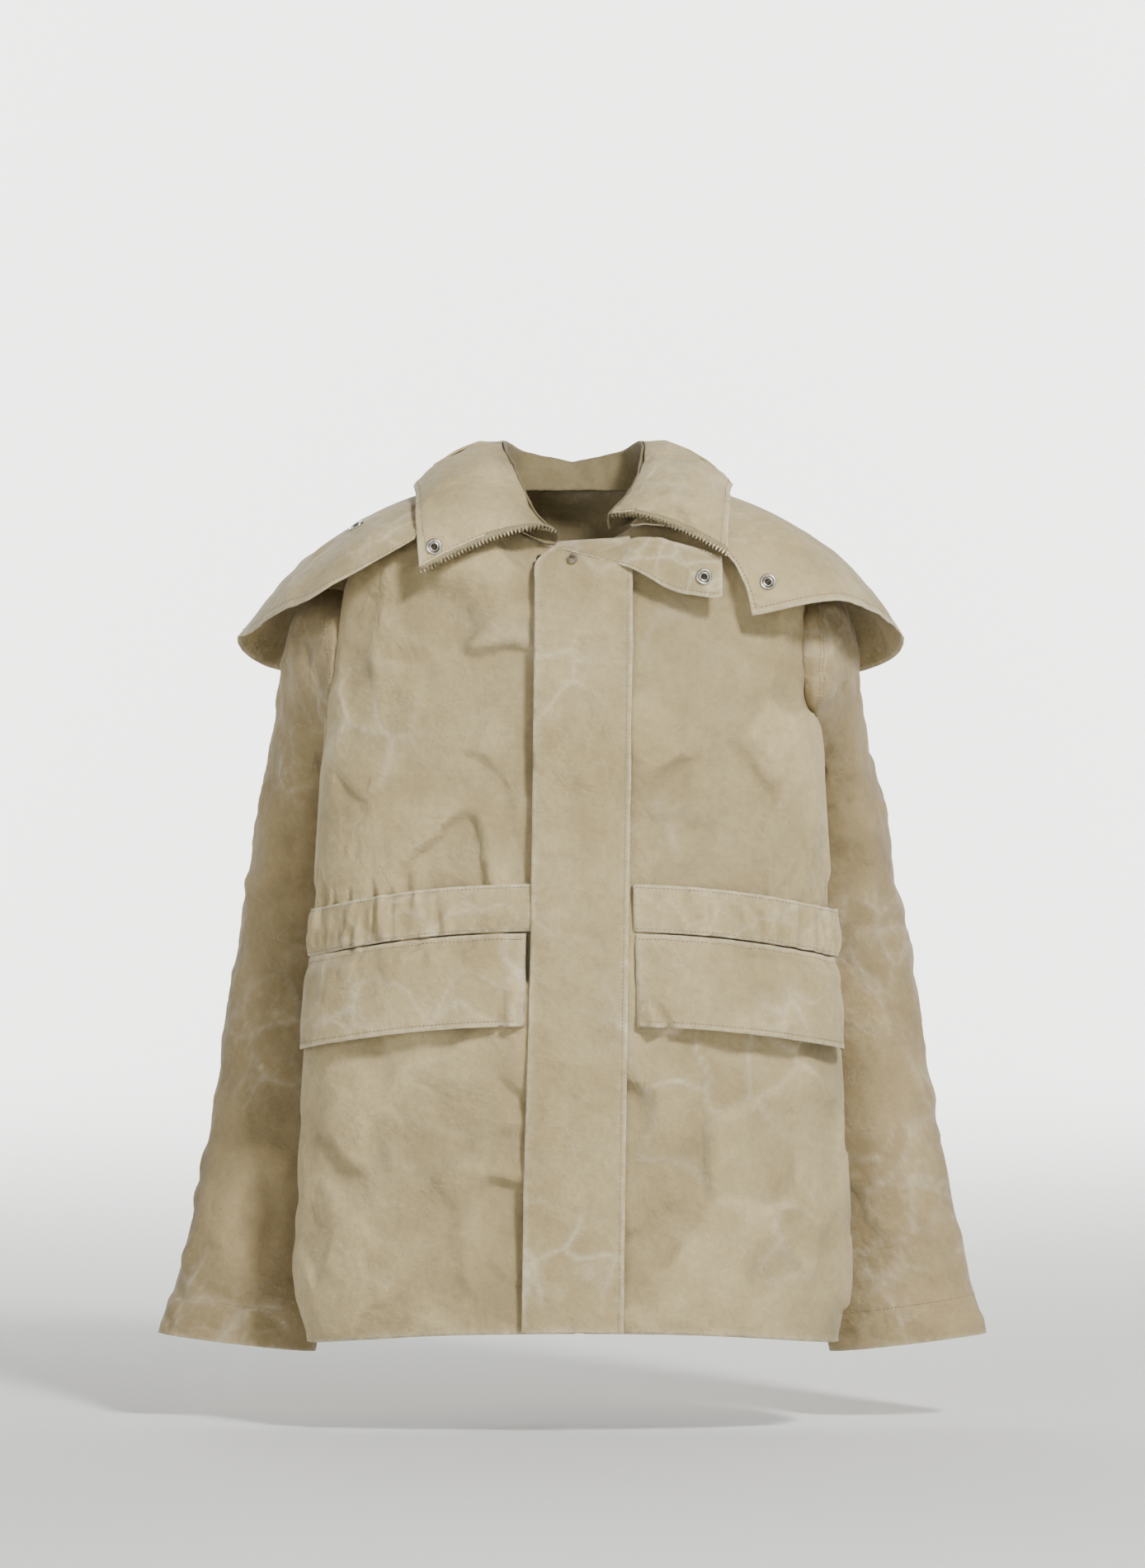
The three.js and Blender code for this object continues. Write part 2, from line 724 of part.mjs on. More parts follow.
// The level at which the front of the shell is z high at width x.
function frontLevel(x, z) {
  let low = hemLevel;
  let high = 0;
  for (let i = 0; i < 30; i += 1) {
    const middle = (low + high) / 2;
    const outside = Math.abs(x) >= halfWidth(middle);
    if (outside || bodyHeight(angleAt(x, middle), middle) > z) {
      high = middle;
    } else {
      low = middle;
    }
  }
  return low;
}

const lapelTop = through([[-10, -17], [31, -16], [62, -10], [96, -16], [131, -27]]);
const lapelBottom = through([
  [-10, -20], [19, -27], [50, -37], [85, -56], [107, -61], [125, -63], [131, -60],
]);
const lapelRise = through([[-10, 9.4], [60, 9.6], [131, 15]]);
const lapelStart = -9;
const lapelEnd = 129;

function lapelAt(u, v, height) {
  const x = mix(lapelStart, lapelEnd, u);
  const z = mix(lapelBottom(x), lapelTop(x), v);
  return onFront(x, frontLevel(x, z), lapelRise(x) + height);
}

add('storm_lapel', sheet(16, 3, (u, v, w) => lapelAt(u, v, w * canvas)), canvasLook);

// ---- Zip along the collar's front edges ----

const collarTape = 5;

function collarZip(side) {
  return sheet(2, 10, (u, v, w) => {
    const along = mix(0.06, 0.96, v);
    const height = (t) => raised(
      (a, b) => leafAt(side, a, b),
      0.006,
      along,
      -side * (leafRest + t * canvas),
      0.004,
      0.01,
    );
    const edge = height(w);
    const inside = leafAt(side, 0.03, along);
    const out = leafAt(side, 0.006, along).sub(inside).normalize();
    return edge.addScaledVector(out, ease + 0.2 + u * collarTape);
  });
}

add('collar_zip_right', collarZip(-1), brassLook);
add('collar_zip_left', collarZip(1), brassLook);

// ---- Snap caps ----

const snapProfile = [
  [0, 0], [0.5, 0], [0.5, 0.35], [0.44, 0.85], [0.32, 1], [0.24, 0.75], [0, 0.68],
].map(([radius, height]) => [radius * snapWide, height * snapTall]);

// A cap standing on surface(u, v) of a sheet whose outer face is raised by height.
function capOn(surface, u, v, height, stepU, stepV) {
  const sign = Math.sign(height);
  const foot = raised(surface, u, v, height + sign * ease, stepU, stepV);
  const above = raised(surface, u, v, height + sign * (ease + 1), stepU, stepV);
  return turnedBetween(snapProfile, foot, above, 20);
}

const leafOuter = leafRest + canvas;
add('collar_snap', capOn((a, b) => leafAt(-1, a, b), 0.07, 0.9, leafOuter, 0.004, 0.01), nickelLook);
add('cape_snap_left', capOn(cape, 1.93, 0.86, capeThick, 0.004, 0.01), nickelLook);
add('cape_snap_right', capOn(cape, 0.36, 0.47, capeThick, 0.004, 0.01), nickelLook);
add('lapel_snap', turnedBetween(
  snapProfile,
  lapelAt(0.88, 0.42, canvas + ease),
  lapelAt(0.88, 0.42, canvas + ease + 1),
  20,
), nickelLook);

// The throat snap: a ring on the flap head and its stud on the right front panel.
const throatHalf = 4.5;
const throatRing = [[2.2, 0], [throatHalf, 0], [throatHalf - 0.6, 1.8], [2.6, 1.8], [2.2, 0]];
const throatStud = [[0, 0], [throatHalf, 0], [throatHalf, 0.8], [1.9, 1], [1.7, 2.6], [0, 2.9]];
add('neck_snap_ring', turnedOn(throatRing, 0, -34, flapRise + canvas + ease, 16), nickelLook);
add('neck_snap_stud', turnedOn(throatStud, -27, -30, ease, 16), nickelLook);
export default jacket;
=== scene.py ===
# A washed canvas beekeeping jacket hanging as if worn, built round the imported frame. Metres, +Z up.
import math

import bmesh
import bpy
import numpy as np
from mathutils import Matrix, Vector


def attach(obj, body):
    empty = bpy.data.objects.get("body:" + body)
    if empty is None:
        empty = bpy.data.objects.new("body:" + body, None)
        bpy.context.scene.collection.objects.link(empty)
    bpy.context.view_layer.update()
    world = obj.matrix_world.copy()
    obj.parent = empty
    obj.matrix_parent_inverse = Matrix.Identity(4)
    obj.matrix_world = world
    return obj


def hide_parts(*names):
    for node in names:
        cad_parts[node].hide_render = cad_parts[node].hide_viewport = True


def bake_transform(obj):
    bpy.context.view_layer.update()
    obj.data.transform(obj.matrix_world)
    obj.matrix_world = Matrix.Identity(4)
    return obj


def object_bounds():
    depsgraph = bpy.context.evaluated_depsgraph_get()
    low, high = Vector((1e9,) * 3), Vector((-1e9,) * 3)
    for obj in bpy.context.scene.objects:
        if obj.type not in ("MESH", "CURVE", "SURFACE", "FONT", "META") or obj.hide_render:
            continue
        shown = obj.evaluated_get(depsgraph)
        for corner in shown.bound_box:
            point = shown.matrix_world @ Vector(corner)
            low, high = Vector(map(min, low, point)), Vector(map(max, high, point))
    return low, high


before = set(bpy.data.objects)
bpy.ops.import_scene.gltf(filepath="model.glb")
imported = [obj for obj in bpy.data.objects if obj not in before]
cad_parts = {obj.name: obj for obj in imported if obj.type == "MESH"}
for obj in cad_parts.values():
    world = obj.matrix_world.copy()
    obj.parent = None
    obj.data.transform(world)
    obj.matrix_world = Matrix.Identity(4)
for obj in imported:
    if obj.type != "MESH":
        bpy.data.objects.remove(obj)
cadBounds = [list(corner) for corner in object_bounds()]
mm = 0.001
root = "jacket_body"
sideNames = {-1: "right", 1: "left"}  # the wearer's sides, by the sign of x


# camera, light and floor
def makeCamera():
    view = {"distance": 6.0, "plane": -0.06, "height": -0.2232, "frameHeight": 1.368, "sensor": 36}
    data = bpy.data.cameras.new("camera")
    data.sensor_width = view["sensor"]
    data.lens = view["sensor"] * view["distance"] / view["frameHeight"]
    data.clip_end = 100
    camera = bpy.data.objects.new("camera", data)
    bpy.context.scene.collection.objects.link(camera)
    camera.location = (0, view["plane"] - view["distance"], view["height"])
    camera.rotation_euler = (math.radians(90), 0, 0)
    bpy.context.scene.camera = camera


def linked(name, bm, finish=None, rounded=True):
    # a built mesh as a piece of the scene
    data = bpy.data.meshes.new(name)
    bm.to_mesh(data)
    bm.free()
    if rounded:
        data.polygons.foreach_set("use_smooth", np.ones(len(data.polygons), bool))
    if finish:
        data.materials.append(finish)
    piece = bpy.data.objects.new(name, data)
    bpy.context.scene.collection.objects.link(piece)
    return piece


def areaLight(name, place, target, size, watts):
    data = bpy.data.lights.new(name, "AREA")
    data.energy = watts
    data.shape = "RECTANGLE"
    data.size, data.size_y = size
    light = bpy.data.objects.new(name, data)
    bpy.context.scene.collection.objects.link(light)
    light.location = place
    light.rotation_euler = (Vector(target) - Vector(place)).to_track_quat("-Z", "Y").to_euler()


def linear(hexColor):
    parts = [int(hexColor[i:i + 2], 16) / 255 for i in (1, 3, 5)]
    return [c / 12.92 if c < 0.04045 else ((c + 0.055) / 1.055) ** 2.4 for c in parts] + [1]


def addNode(tree, kind, settings=(), links=()):
    node = tree.nodes.new("ShaderNode" + kind)
    for name, value in dict(settings).items():
        if isinstance(name, str) and hasattr(node, name):
            setattr(node, name, value)
        else:
            node.inputs[name].default_value = value
    for name, source in dict(links).items():
        tree.links.new(source, node.inputs[name])
    return node


def makeStudio():
    world = bpy.data.worlds.new("studio")
    bpy.context.scene.world = world
    world.use_nodes = True
    background = world.node_tree.nodes["Background"]
    background.inputs["Color"].default_value = linear("#ffffff")
    background.inputs["Strength"].default_value = studio["world"]
    for name, place, target, size, watts in studio["lights"]:
        areaLight(name, place, target, size, watts)
    # a round paper sweep: flat under the jacket, then curving up all round
    floor, bowl = cadBounds[0][2] - 0.06, studio["bowl"]
    profile = [(0, 0)] + [(bowl - studio["curve"] * (1 - math.sin(t)), studio["curve"] * (1 - math.cos(t)))
                          for t in np.linspace(0, math.pi / 2, 12)] + [(bowl, studio["rim"])]
    sweep = bmesh.new()
    corners = [sweep.verts.new((radius, 0, floor + height)) for radius, height in profile]
    edges = [sweep.edges.new(pair) for pair in zip(corners, corners[1:])]
    bmesh.ops.spin(sweep, geom=corners + edges, cent=(0, 0, 0), axis=(0, 0, 1), angle=2 * math.pi, steps=72,
                   use_merge=True)
    bmesh.ops.remove_doubles(sweep, verts=sweep.verts[:], dist=1e-4)
    bmesh.ops.recalc_face_normals(sweep, faces=sweep.faces[:])
    paint = bpy.data.materials.new("paleStudioPaper")
    paint.use_nodes = True
    shader = paint.node_tree.nodes["Principled BSDF"]
    shader.inputs["Base Color"].default_value = linear("#dededc")
    shader.inputs["Roughness"].default_value = 0.95
    paper = linked("studioSweep", sweep, paint)


studio = {"world": 0.03, "bowl": 11, "curve": 3, "rim": 8, "lights": [
    ("keyLight", (1.9, -3.6, 2.7), (0, 0, -0.35), (0.8, 0.8), 330),
    ("fillLight", (-1.5, -4.6, 0.4), (0, 0, -0.3), (1.6, 1.6), 60),
    ("backLight", (-1.2, 4.6, 2.4), (0, 0, -0.3), (1.6, 1.6), 50),
    ("paperLightLeft", (-5.5, 5.5, 3.0), (-1.5, 11, 0.6), (3, 3), 1700),
    ("paperLightRight", (5.5, 5.5, 3.0), (1.5, 11, 0.6), (3, 3), 1700),
]}
makeCamera()
makeStudio()
print("camera, light and floor are made")


# seeded noise on arrays of points
def latticeValue(cell, seed):
    mixed = cell[..., 0] * 374761393 + cell[..., 1] * 668265263 + cell[..., 2] * 2147483629 + seed * 974634777
    mixed = mixed & 0xFFFFFFFF
    mixed = ((mixed ^ (mixed >> 13)) * 1274126177) & 0xFFFFFFFF
    return ((mixed ^ (mixed >> 16)) & 0xFFFF) / 65535.0


def softNoise(points, size, seed=0):
    # smooth noise from -1 to 1 with lumps about as big as size
    p = np.asarray(points, float) / size
    cell = np.floor(p).astype(np.int64)
    f = p - cell
    f = f * f * (3 - 2 * f)
    total = np.zeros(p.shape[:-1])
    for corner in np.ndindex(2, 2, 2):
        weight = np.ones(p.shape[:-1])
        for axis in range(3):
            weight = weight * (f[..., axis] if corner[axis] else 1 - f[..., axis])
        total += weight * latticeValue(cell + np.array(corner), seed)
    return 2 * total - 1


def crumple(points, size, seed=0):
    # nearly flat facets that meet in soft creases: (height about -1 to 1, nearness to a crease from 0 to 1)
    points = np.asarray(points, float)
    bent = [softNoise(points, size * 0.7, seed + 31 + k) for k in range(3)]
    p = points / size + 0.3 * np.stack(bent, -1)
    cell = np.floor(p).astype(np.int64)
    first = np.full(p.shape[:-1], 9.0)
    second = np.full(p.shape[:-1], 9.0)
    total, weights = np.zeros(p.shape[:-1]), np.full(p.shape[:-1], 1e-9)
    for step in np.ndindex(3, 3, 3):
        near = cell + np.array(step) - 1
        spot = np.stack([latticeValue(near, seed + k) for k in range(3)], -1)
        slope = np.stack([latticeValue(near, seed + 5 + k) - 0.5 for k in range(3)], -1)
        away = p - near - spot
        far = np.sqrt((away ** 2).sum(-1))
        weight = np.exp(-16 * far)
        total += weight * (2.4 * (away * slope).sum(-1) + 0.9 * slope[..., 0])
        weights += weight
        closer = far < first
        second = np.where(closer, first, np.minimum(second, far))
        first = np.where(closer, far, first)
    return total / weights, np.exp(-((second - first) / 0.05))


def paired(a, b):
    return np.broadcast_arrays(np.asarray(a, float), np.asarray(b, float))


def vector3(x, y, z):
    x, y, z = np.broadcast_arrays(x, y, z)
    return np.stack([x, y, z], -1).astype(float)


def smooth(value, low, high):
    t = np.clip((value - low) / (high - low), 0, 1)
    return t * t * (3 - 2 * t)


def mix(a, b, t):
    return a + (b - a) * t


def through(pairs):
    # a smooth curve through (at, value) pairs, level past both ends
    x = np.array([p[0] for p in pairs], float)
    y = np.array([p[1] for p in pairs], float)
    before = np.maximum(np.arange(len(x)) - 1, 0)
    after = np.minimum(np.arange(len(x)) + 1, len(x) - 1)
    slope = (y[after] - y[before]) / (x[after] - x[before])

    def curve(at):
        here = np.clip(at, x[0], x[-1])
        i = np.clip(np.searchsorted(x, here, side="right") - 1, 0, len(x) - 2)
        step = x[i + 1] - x[i]
        t = (here - x[i]) / step
        rise = y[i + 1] - y[i]
        first, last = slope[i] * step, slope[i + 1] * step
        return y[i] + t * first + t * t * (3 * rise - 2 * first - last) + t ** 3 * (first + last - 2 * rise)

    return curve


def spline(*points):
    # a smooth line through points, evenly shared between them, as a function of 0 to 1
    at = np.linspace(0, 1, len(points))
    curves = [through(list(zip(at, [p[k] for p in points]))) for k in range(3)]
    return lambda t: np.stack([c(np.asarray(t, float)) for c in curves], -1)


# the body shell: angle 0 at the centre front, 90 degrees at the wearer's left, and a level in mm that is the
# height up to the yoke and runs over the shoulders to the neck seam above it
shell = {
    "hem": -696, "hemDrop": 14, "hip": -640, "waist": -350, "armpit": -173, "yoke": -60,
    "hemHalf": 234, "hipHalf": 243, "waistHalf": 227, "chestHalf": 217, "shoulderHalf": 200, "neckHalf": 80,
    "frontDepth": 94, "frontSpread": 21, "backDepth": 148, "widest": -35, "boxy": 2.6,
    "neckSide": 38, "neckFront": -15, "neckBack": 40,
}
halfWidth = through([
    (shell["hem"], shell["hemHalf"]), (shell["hip"], shell["hipHalf"]), (-454, 233),
    (shell["waist"], shell["waistHalf"]), (-237, 220), (shell["armpit"], shell["chestHalf"]),
    (shell["yoke"], shell["shoulderHalf"]), (-40, shell["shoulderHalf"] - 10), (-20, 138), (0, shell["neckHalf"]),
])
frontReach = through([
    (shell["hem"], shell["frontDepth"] + shell["frontSpread"]), (shell["yoke"], shell["frontDepth"]),
    (-40, shell["frontDepth"] - 2), (-20, shell["frontDepth"] - 12), (0, shell["frontDepth"] - 31),
])
backReach = through([
    (shell["hem"], shell["backDepth"] + 2), (shell["waist"], shell["backDepth"] - 8),
    (shell["armpit"], shell["backDepth"] + 2), (shell["yoke"], shell["backDepth"] - 2),
    (-40, shell["backDepth"] - 8), (-20, shell["backDepth"] - 23), (0, shell["backDepth"] - 53),
])
climb = through([(0, 0), (0.333, 0.49), (0.667, 0.82), (1, 1)])
backBoxy = through([(-230, 1.7), (-150, 2.2), (-90, 2.6)])
sideSeam = math.radians(93)


def signedPower(value, exponent):
    return np.sign(value) * np.abs(value) ** exponent


def bodyHeight(angle, level):
    sideways = np.sin(angle) ** 2
    drop = shell["hemDrop"] * sideways * smooth(-level, 450, -shell["hem"])
    middle = np.where(np.cos(angle) > 0, shell["neckFront"], shell["neckBack"])
    top = mix(middle, shell["neckSide"], sideways)
    over = shell["yoke"] + (top - shell["yoke"]) * climb(1 - level / shell["yoke"])
    return np.where(level <= shell["yoke"], level - drop, over)


def body(angle, level):
    angle, level = np.broadcast_arrays(np.asarray(angle, float), np.clip(level, shell["hem"], 0))
    forward = np.cos(angle) > 0
    boxy = np.where(forward, shell["boxy"], backBoxy(level))
    reach = np.where(forward, frontReach(level), backReach(level))
    x = halfWidth(level) * signedPower(np.sin(angle), 2 / boxy)
    y = shell["widest"] - reach * signedPower(np.cos(angle), 2 / boxy)
    return vector3(x, y, bodyHeight(angle, level))


def angleAt(x, level):
    share = np.minimum(np.abs(x) / halfWidth(level), 1)
    return np.sign(x) * np.arcsin(share ** (shell["boxy"] / 2))


def front(x, level):
    return body(angleAt(x, level), level)


def frontLevel(x, z):
    # the level at which the front of the shell is z high at width x
    x, z = paired(x, z)
    low, high = np.full(x.shape, float(shell["hem"])), np.zeros(x.shape)
    for _ in range(30):
        middle = (low + high) / 2
        above = (np.abs(x) >= halfWidth(middle)) | (bodyHeight(angleAt(x, middle), middle) > z)
        low, high = np.where(above, low, middle), np.where(above, middle, high)
    return low


def frontAtHeight(x, z):
    return front(x, frontLevel(x, z))


def normalsOf(surface, u, v, stepU, stepV):
    across = surface(u + stepU, v) - surface(u - stepU, v)
    along = surface(u, v + stepV) - surface(u, v - stepV)
    normal = np.cross(across, along)
    return normal / np.maximum(np.linalg.norm(normal, axis=-1, keepdims=True), 1e-9)


def raised(surface, u, v, height, stepU=0.002, stepV=0.5):
    u, v = paired(u, v)
    return surface(u, v) + normalsOf(surface, u, v, stepU, stepV) * np.asarray(height)[..., None]


# cloth pieces: a grid moved on to a surface, with folds along its normal
def edgeDistance(u, v, width, length, edges="lrbt"):
    near = np.full(np.shape(u), 1e3)
    for name, distance in (("l", u * width), ("r", (1 - u) * width), ("b", v * length), ("t", (1 - v) * length)):
        if name in edges:
            near = np.minimum(near, distance)
    return near


def puckers(points, near, size=11, seed=0, reach=9):
    # short waves that run off a sewn edge
    return softNoise(points, size, seed) * np.exp(-(near / reach) ** 2)


def meshObject(name, bm, places, attributes, uv):
    piece = linked(name, bm)
    data = piece.data
    data.vertices.foreach_set("co", (np.asarray(places) * mm).astype(np.float32).ravel())
    for key, values in attributes.items():
        layer = data.attributes.new(key, "FLOAT", "POINT")
        layer.data.foreach_set("value", np.asarray(values, np.float32).ravel())
    layer = data.uv_layers.new(name="cut")
    corner = np.zeros(len(data.loops), np.int32)
    data.loops.foreach_get("vertex_index", corner)
    layer.data.foreach_set("uv", (uv[corner] * mm).astype(np.float32).ravel())
    data.update()
    return piece


madeCloths = {}
rubbedReach, ridgeHeight = 2.2, 3  # how far an edge's wear runs in, and the height that counts as a full ridge


def onCloth(name, u, v, lift):
    # points standing lift over a finished cloth's outer face, with its folds, and the way that face looks
    place, size, folds, edges, outward = madeCloths[name]
    u, v = paired(u, v)
    points = place(u, v)
    normal = normalsOf(place, u, v, 0.004, 0.004) * outward
    near = edgeDistance(u, v, size[0], size[1], edges)
    height = folds(points, u, v, near)[0] if folds else np.zeros(u.shape)
    return points + normal * (height + lift)[:, None], normal


def clothGrid(name, place, size, cell, thick=1.2, folds=None, edges="lrbt", joinRound=False, keep=None,
              outward=1, cuts=()):
    # place(u, v) gives points in mm; size is the cut's (width, length) in mm; folds(points, u, v, near) gives
    # the height along the normal and how pale the creases are
    madeCloths[name] = (place, size, folds, edges, outward)
    bm = bmesh.new()
    cell = cell * 1
    across, along = max(2, round(size[0] / cell)), max(2, round(size[1] / cell))
    bmesh.ops.create_grid(bm, x_segments=across, y_segments=along, size=0.5)
    bm.verts.ensure_lookup_table()
    flat = np.array([v.co for v in bm.verts])
    u, v = flat[:, 0] + 0.5, flat[:, 1] + 0.5
    points = place(u, v)
    normal = normalsOf(place, u, v, 0.002, 0.002) * outward
    near = edgeDistance(u, v, size[0], size[1], edges)
    height, crease = folds(points, u, v, near) if folds else (np.zeros(len(u)), np.zeros(len(u)))
    moved = points + normal * height[:, None]
    if keep is not None:
        gone = ~keep(points, u, v)
        bm.faces.ensure_lookup_table()
        doomed = [f for f in bm.faces if all(gone[c.index] for c in f.verts)]
        tag = bm.verts.layers.int.new("kept")
        for i, vertex in enumerate(bm.verts):
            vertex[tag] = i
        bmesh.ops.delete(bm, geom=doomed, context="FACES")
        kept = np.array([vertex[tag] for vertex in bm.verts])
        bm.verts.layers.int.remove(bm.verts.layers.int["kept"])
        moved, u, v, near, crease, height = moved[kept], u[kept], v[kept], near[kept], crease[kept], height[kept]
    uv = np.stack([u * size[0], v * size[1]], -1)
    # ridge is the fold height: the canvas paints its tops paler as wear and its hollows darker as painted shade
    shades = {"wear": np.exp(-near / rubbedReach), "crease": crease, "ridge": np.clip(height / ridgeHeight, -1, 1)}
    piece = meshObject(name, bm, moved, shades, uv)
    if outward < 0:
        piece.data.flip_normals()
    for point, normalOut in cuts:
        trimmed = bmesh.new()
        trimmed.from_mesh(piece.data)
        bmesh.ops.bisect_plane(trimmed, geom=trimmed.verts[:] + trimmed.edges[:] + trimmed.faces[:], dist=1e-6,
                               plane_co=Vector(point) * mm, plane_no=normalOut, clear_outer=True)
        trimmed.to_mesh(piece.data)
        trimmed.free()
    if joinRound:
        joined = bmesh.new()
        joined.from_mesh(piece.data)
        bmesh.ops.remove_doubles(joined, verts=joined.verts[:], dist=0.02 * mm)
        joined.to_mesh(piece.data)
        joined.free()
    wall = piece.modifiers.new("wall", "SOLIDIFY")
    wall.thickness = thick * mm
    wall.offset = -1
    wall.use_even_offset = False
    return piece


def settle(piece, body, finish, nodes=(), blend=None):
    piece.data.materials.append(finish)
    if nodes:
        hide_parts(*nodes)
    if blend:
        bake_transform(piece)
    else:
        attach(piece, body)


# materials
def shade(name):
    material = bpy.data.materials.new(name)
    material.use_nodes = True
    tree = material.node_tree
    return material, tree, tree.nodes["Principled BSDF"]


def washedCanvas(name, dark, middle, pale, creasePale):
    # close-woven cotton, washed soft: blotchy depth of colour, chalky lines where it creased, pale rubbed edges and
    # fold tops, and painted shade in the fold hollows
    material, tree, shader = shade(name)
    place = addNode(tree, "TexCoord").outputs["Object"]
    cut = addNode(tree, "UVMap", {"uv_map": "cut"}).outputs["UV"]
    blotch = addNode(tree, "TexNoise", {"Scale": 11, "Detail": 5, "Roughness": 0.6}, {"Vector": place})
    grain = addNode(tree, "TexNoise", {"Scale": 160, "Detail": 4, "Roughness": 0.7}, {"Vector": place})
    depth = addNode(tree, "ValToRGB", {}, {"Fac": blotch.outputs["Fac"]})
    depth.color_ramp.elements[0].position, depth.color_ramp.elements[1].position = 0.34, 0.66
    depth.color_ramp.elements[0].color, depth.color_ramp.elements[1].color = linear(dark), linear(middle)
    # the net of creases, bent out of straight by a slow noise and kept in patches by another
    bend = addNode(tree, "TexNoise", {"Scale": 26, "Detail": 6, "Roughness": 0.7}, {"Vector": place})
    bent = addNode(tree, "VectorMath", {"operation": "SCALE", "Scale": 0.06},
                   {0: bend.outputs["Color"]})
    warped = addNode(tree, "VectorMath", {"operation": "ADD"}, {0: place, 1: bent.outputs[0]})
    net = addNode(tree, "TexVoronoi", {"feature": "DISTANCE_TO_EDGE", "Scale": 27},
                  {"Vector": warped.outputs[0]})
    line = addNode(tree, "MapRange", {"From Min": 0.0, "From Max": 0.022, "To Min": 1.0, "To Max": 0.0},
                   {"Value": net.outputs["Distance"]})
    patch = addNode(tree, "TexNoise", {"Scale": 8, "Detail": 4, "Roughness": 0.65}, {"Vector": place})
    inPatch = addNode(tree, "MapRange", {"From Min": 0.48, "From Max": 0.66},
                      {"Value": patch.outputs["Fac"]})
    netted = addNode(tree, "Math", {"operation": "MULTIPLY"},
                     {0: line.outputs[0], 1: inPatch.outputs[0]})
    crease = addNode(tree, "Attribute", {"attribute_name": "crease"}).outputs["Fac"]
    wear = addNode(tree, "Attribute", {"attribute_name": "wear"}).outputs["Fac"]
    rubbed = addNode(tree, "Math", {"operation": "MULTIPLY"}, {0: wear, 1: grain.outputs["Fac"]})
    lines = addNode(tree, "Math", {"operation": "MULTIPLY_ADD", 1: 0.4},
                    {0: netted.outputs[0], 2: crease})
    worn = addNode(tree, "Math", {"operation": "MULTIPLY_ADD", 1: 1.1},
                   {0: rubbed.outputs[0], 2: lines.outputs[0]})
    paleness = addNode(tree, "Math", {"operation": "MULTIPLY", 1: creasePale, "use_clamp": True},
                       {0: worn.outputs[0]})
    color = addNode(tree, "Mix", {"data_type": "RGBA"}, {0: paleness.outputs[0]})
    tree.links.new(depth.outputs["Color"], color.inputs[6])
    color.inputs[7].default_value = linear(pale)
    speck = addNode(tree, "MapRange", {"From Min": 0.3, "From Max": 0.7, "To Min": 0.9,
                                                 "To Max": 1.08}, {"Value": grain.outputs["Fac"]})
    # fold height sets the tone: tops paler from wear, hollows darker as painted shade
    ridge = addNode(tree, "Attribute", {"attribute_name": "ridge"}).outputs["Fac"]
    wornTopsPaintedHollowShade = addNode(tree, "MapRange", {"From Min": -1.0, "From Max": 1.0, "To Min": 0.86,
                                                      "To Max": 1.08}, {"Value": ridge})
    toneWithPaintedShade = addNode(tree, "Math", {"operation": "MULTIPLY"},
                        {0: speck.outputs[0], 1: wornTopsPaintedHollowShade.outputs[0]})
    toned = addNode(tree, "VectorMath", {"operation": "SCALE"},
                    {0: color.outputs[2], 3: toneWithPaintedShade.outputs[0]})
    tree.links.new(toned.outputs[0], shader.inputs["Base Color"])
    # warp and weft 0.9 mm apart, then the soft nap over them
    warp = addNode(tree, "TexWave", {"bands_direction": "X", "Scale": 350}, {"Vector": cut})
    weft = addNode(tree, "TexWave", {"bands_direction": "Y", "Scale": 350}, {"Vector": cut})
    weave = addNode(tree, "Math", {"operation": "MULTIPLY"},
                    {0: warp.outputs["Fac"], 1: weft.outputs["Fac"]})
    relief = addNode(tree, "Bump", {"Strength": 0.25, "Distance": 0.0003}, {"Height": weave.outputs[0]})
    rumple = addNode(tree, "TexNoise", {"Scale": 75, "Detail": 4, "Roughness": 0.62}, {"Vector": place})
    broad = addNode(tree, "TexNoise", {"Scale": 26, "Detail": 3, "Roughness": 0.55, "Distortion": 0.6},
                    {"Vector": place})
    rolling = addNode(tree, "Bump", {"Strength": 0.6, "Distance": 0.008},
                      {"Height": broad.outputs["Fac"], "Normal": relief.outputs[0]})
    soft = addNode(tree, "Bump", {"Strength": 0.6, "Distance": 0.003},
                   {"Height": rumple.outputs["Fac"], "Normal": rolling.outputs[0]})
    sharp = addNode(tree, "Bump", {"Strength": 0.5, "Distance": 0.0012},
                    {"Height": paleness.outputs[0], "Normal": soft.outputs[0]})
    tree.links.new(sharp.outputs[0], shader.inputs["Normal"])
    shader.inputs["Roughness"].default_value = 0.88
    shader.inputs["Specular IOR Level"].default_value = 0.22
    shader.inputs["Sheen Weight"].default_value = 0.12
    shader.inputs["Sheen Roughness"].default_value = 0.5
    return material


def ribbedElastic():
    # covered elastic: cotton over rubber, with a rib every 2 mm
    material, tree, shader = shade("woven_elastic")
    place = addNode(tree, "TexCoord").outputs["Object"]
    rib = addNode(tree, "TexWave", {"bands_direction": "Z", "Scale": 150}, {"Vector": place})
    relief = addNode(tree, "Bump", {"Strength": 0.5, "Distance": 0.0005}, {"Height": rib.outputs["Fac"]})
    tree.links.new(relief.outputs[0], shader.inputs["Normal"])
    shader.inputs["Base Color"].default_value = linear("#8C8068")
    shader.inputs["Roughness"].default_value = 0.8
    return material


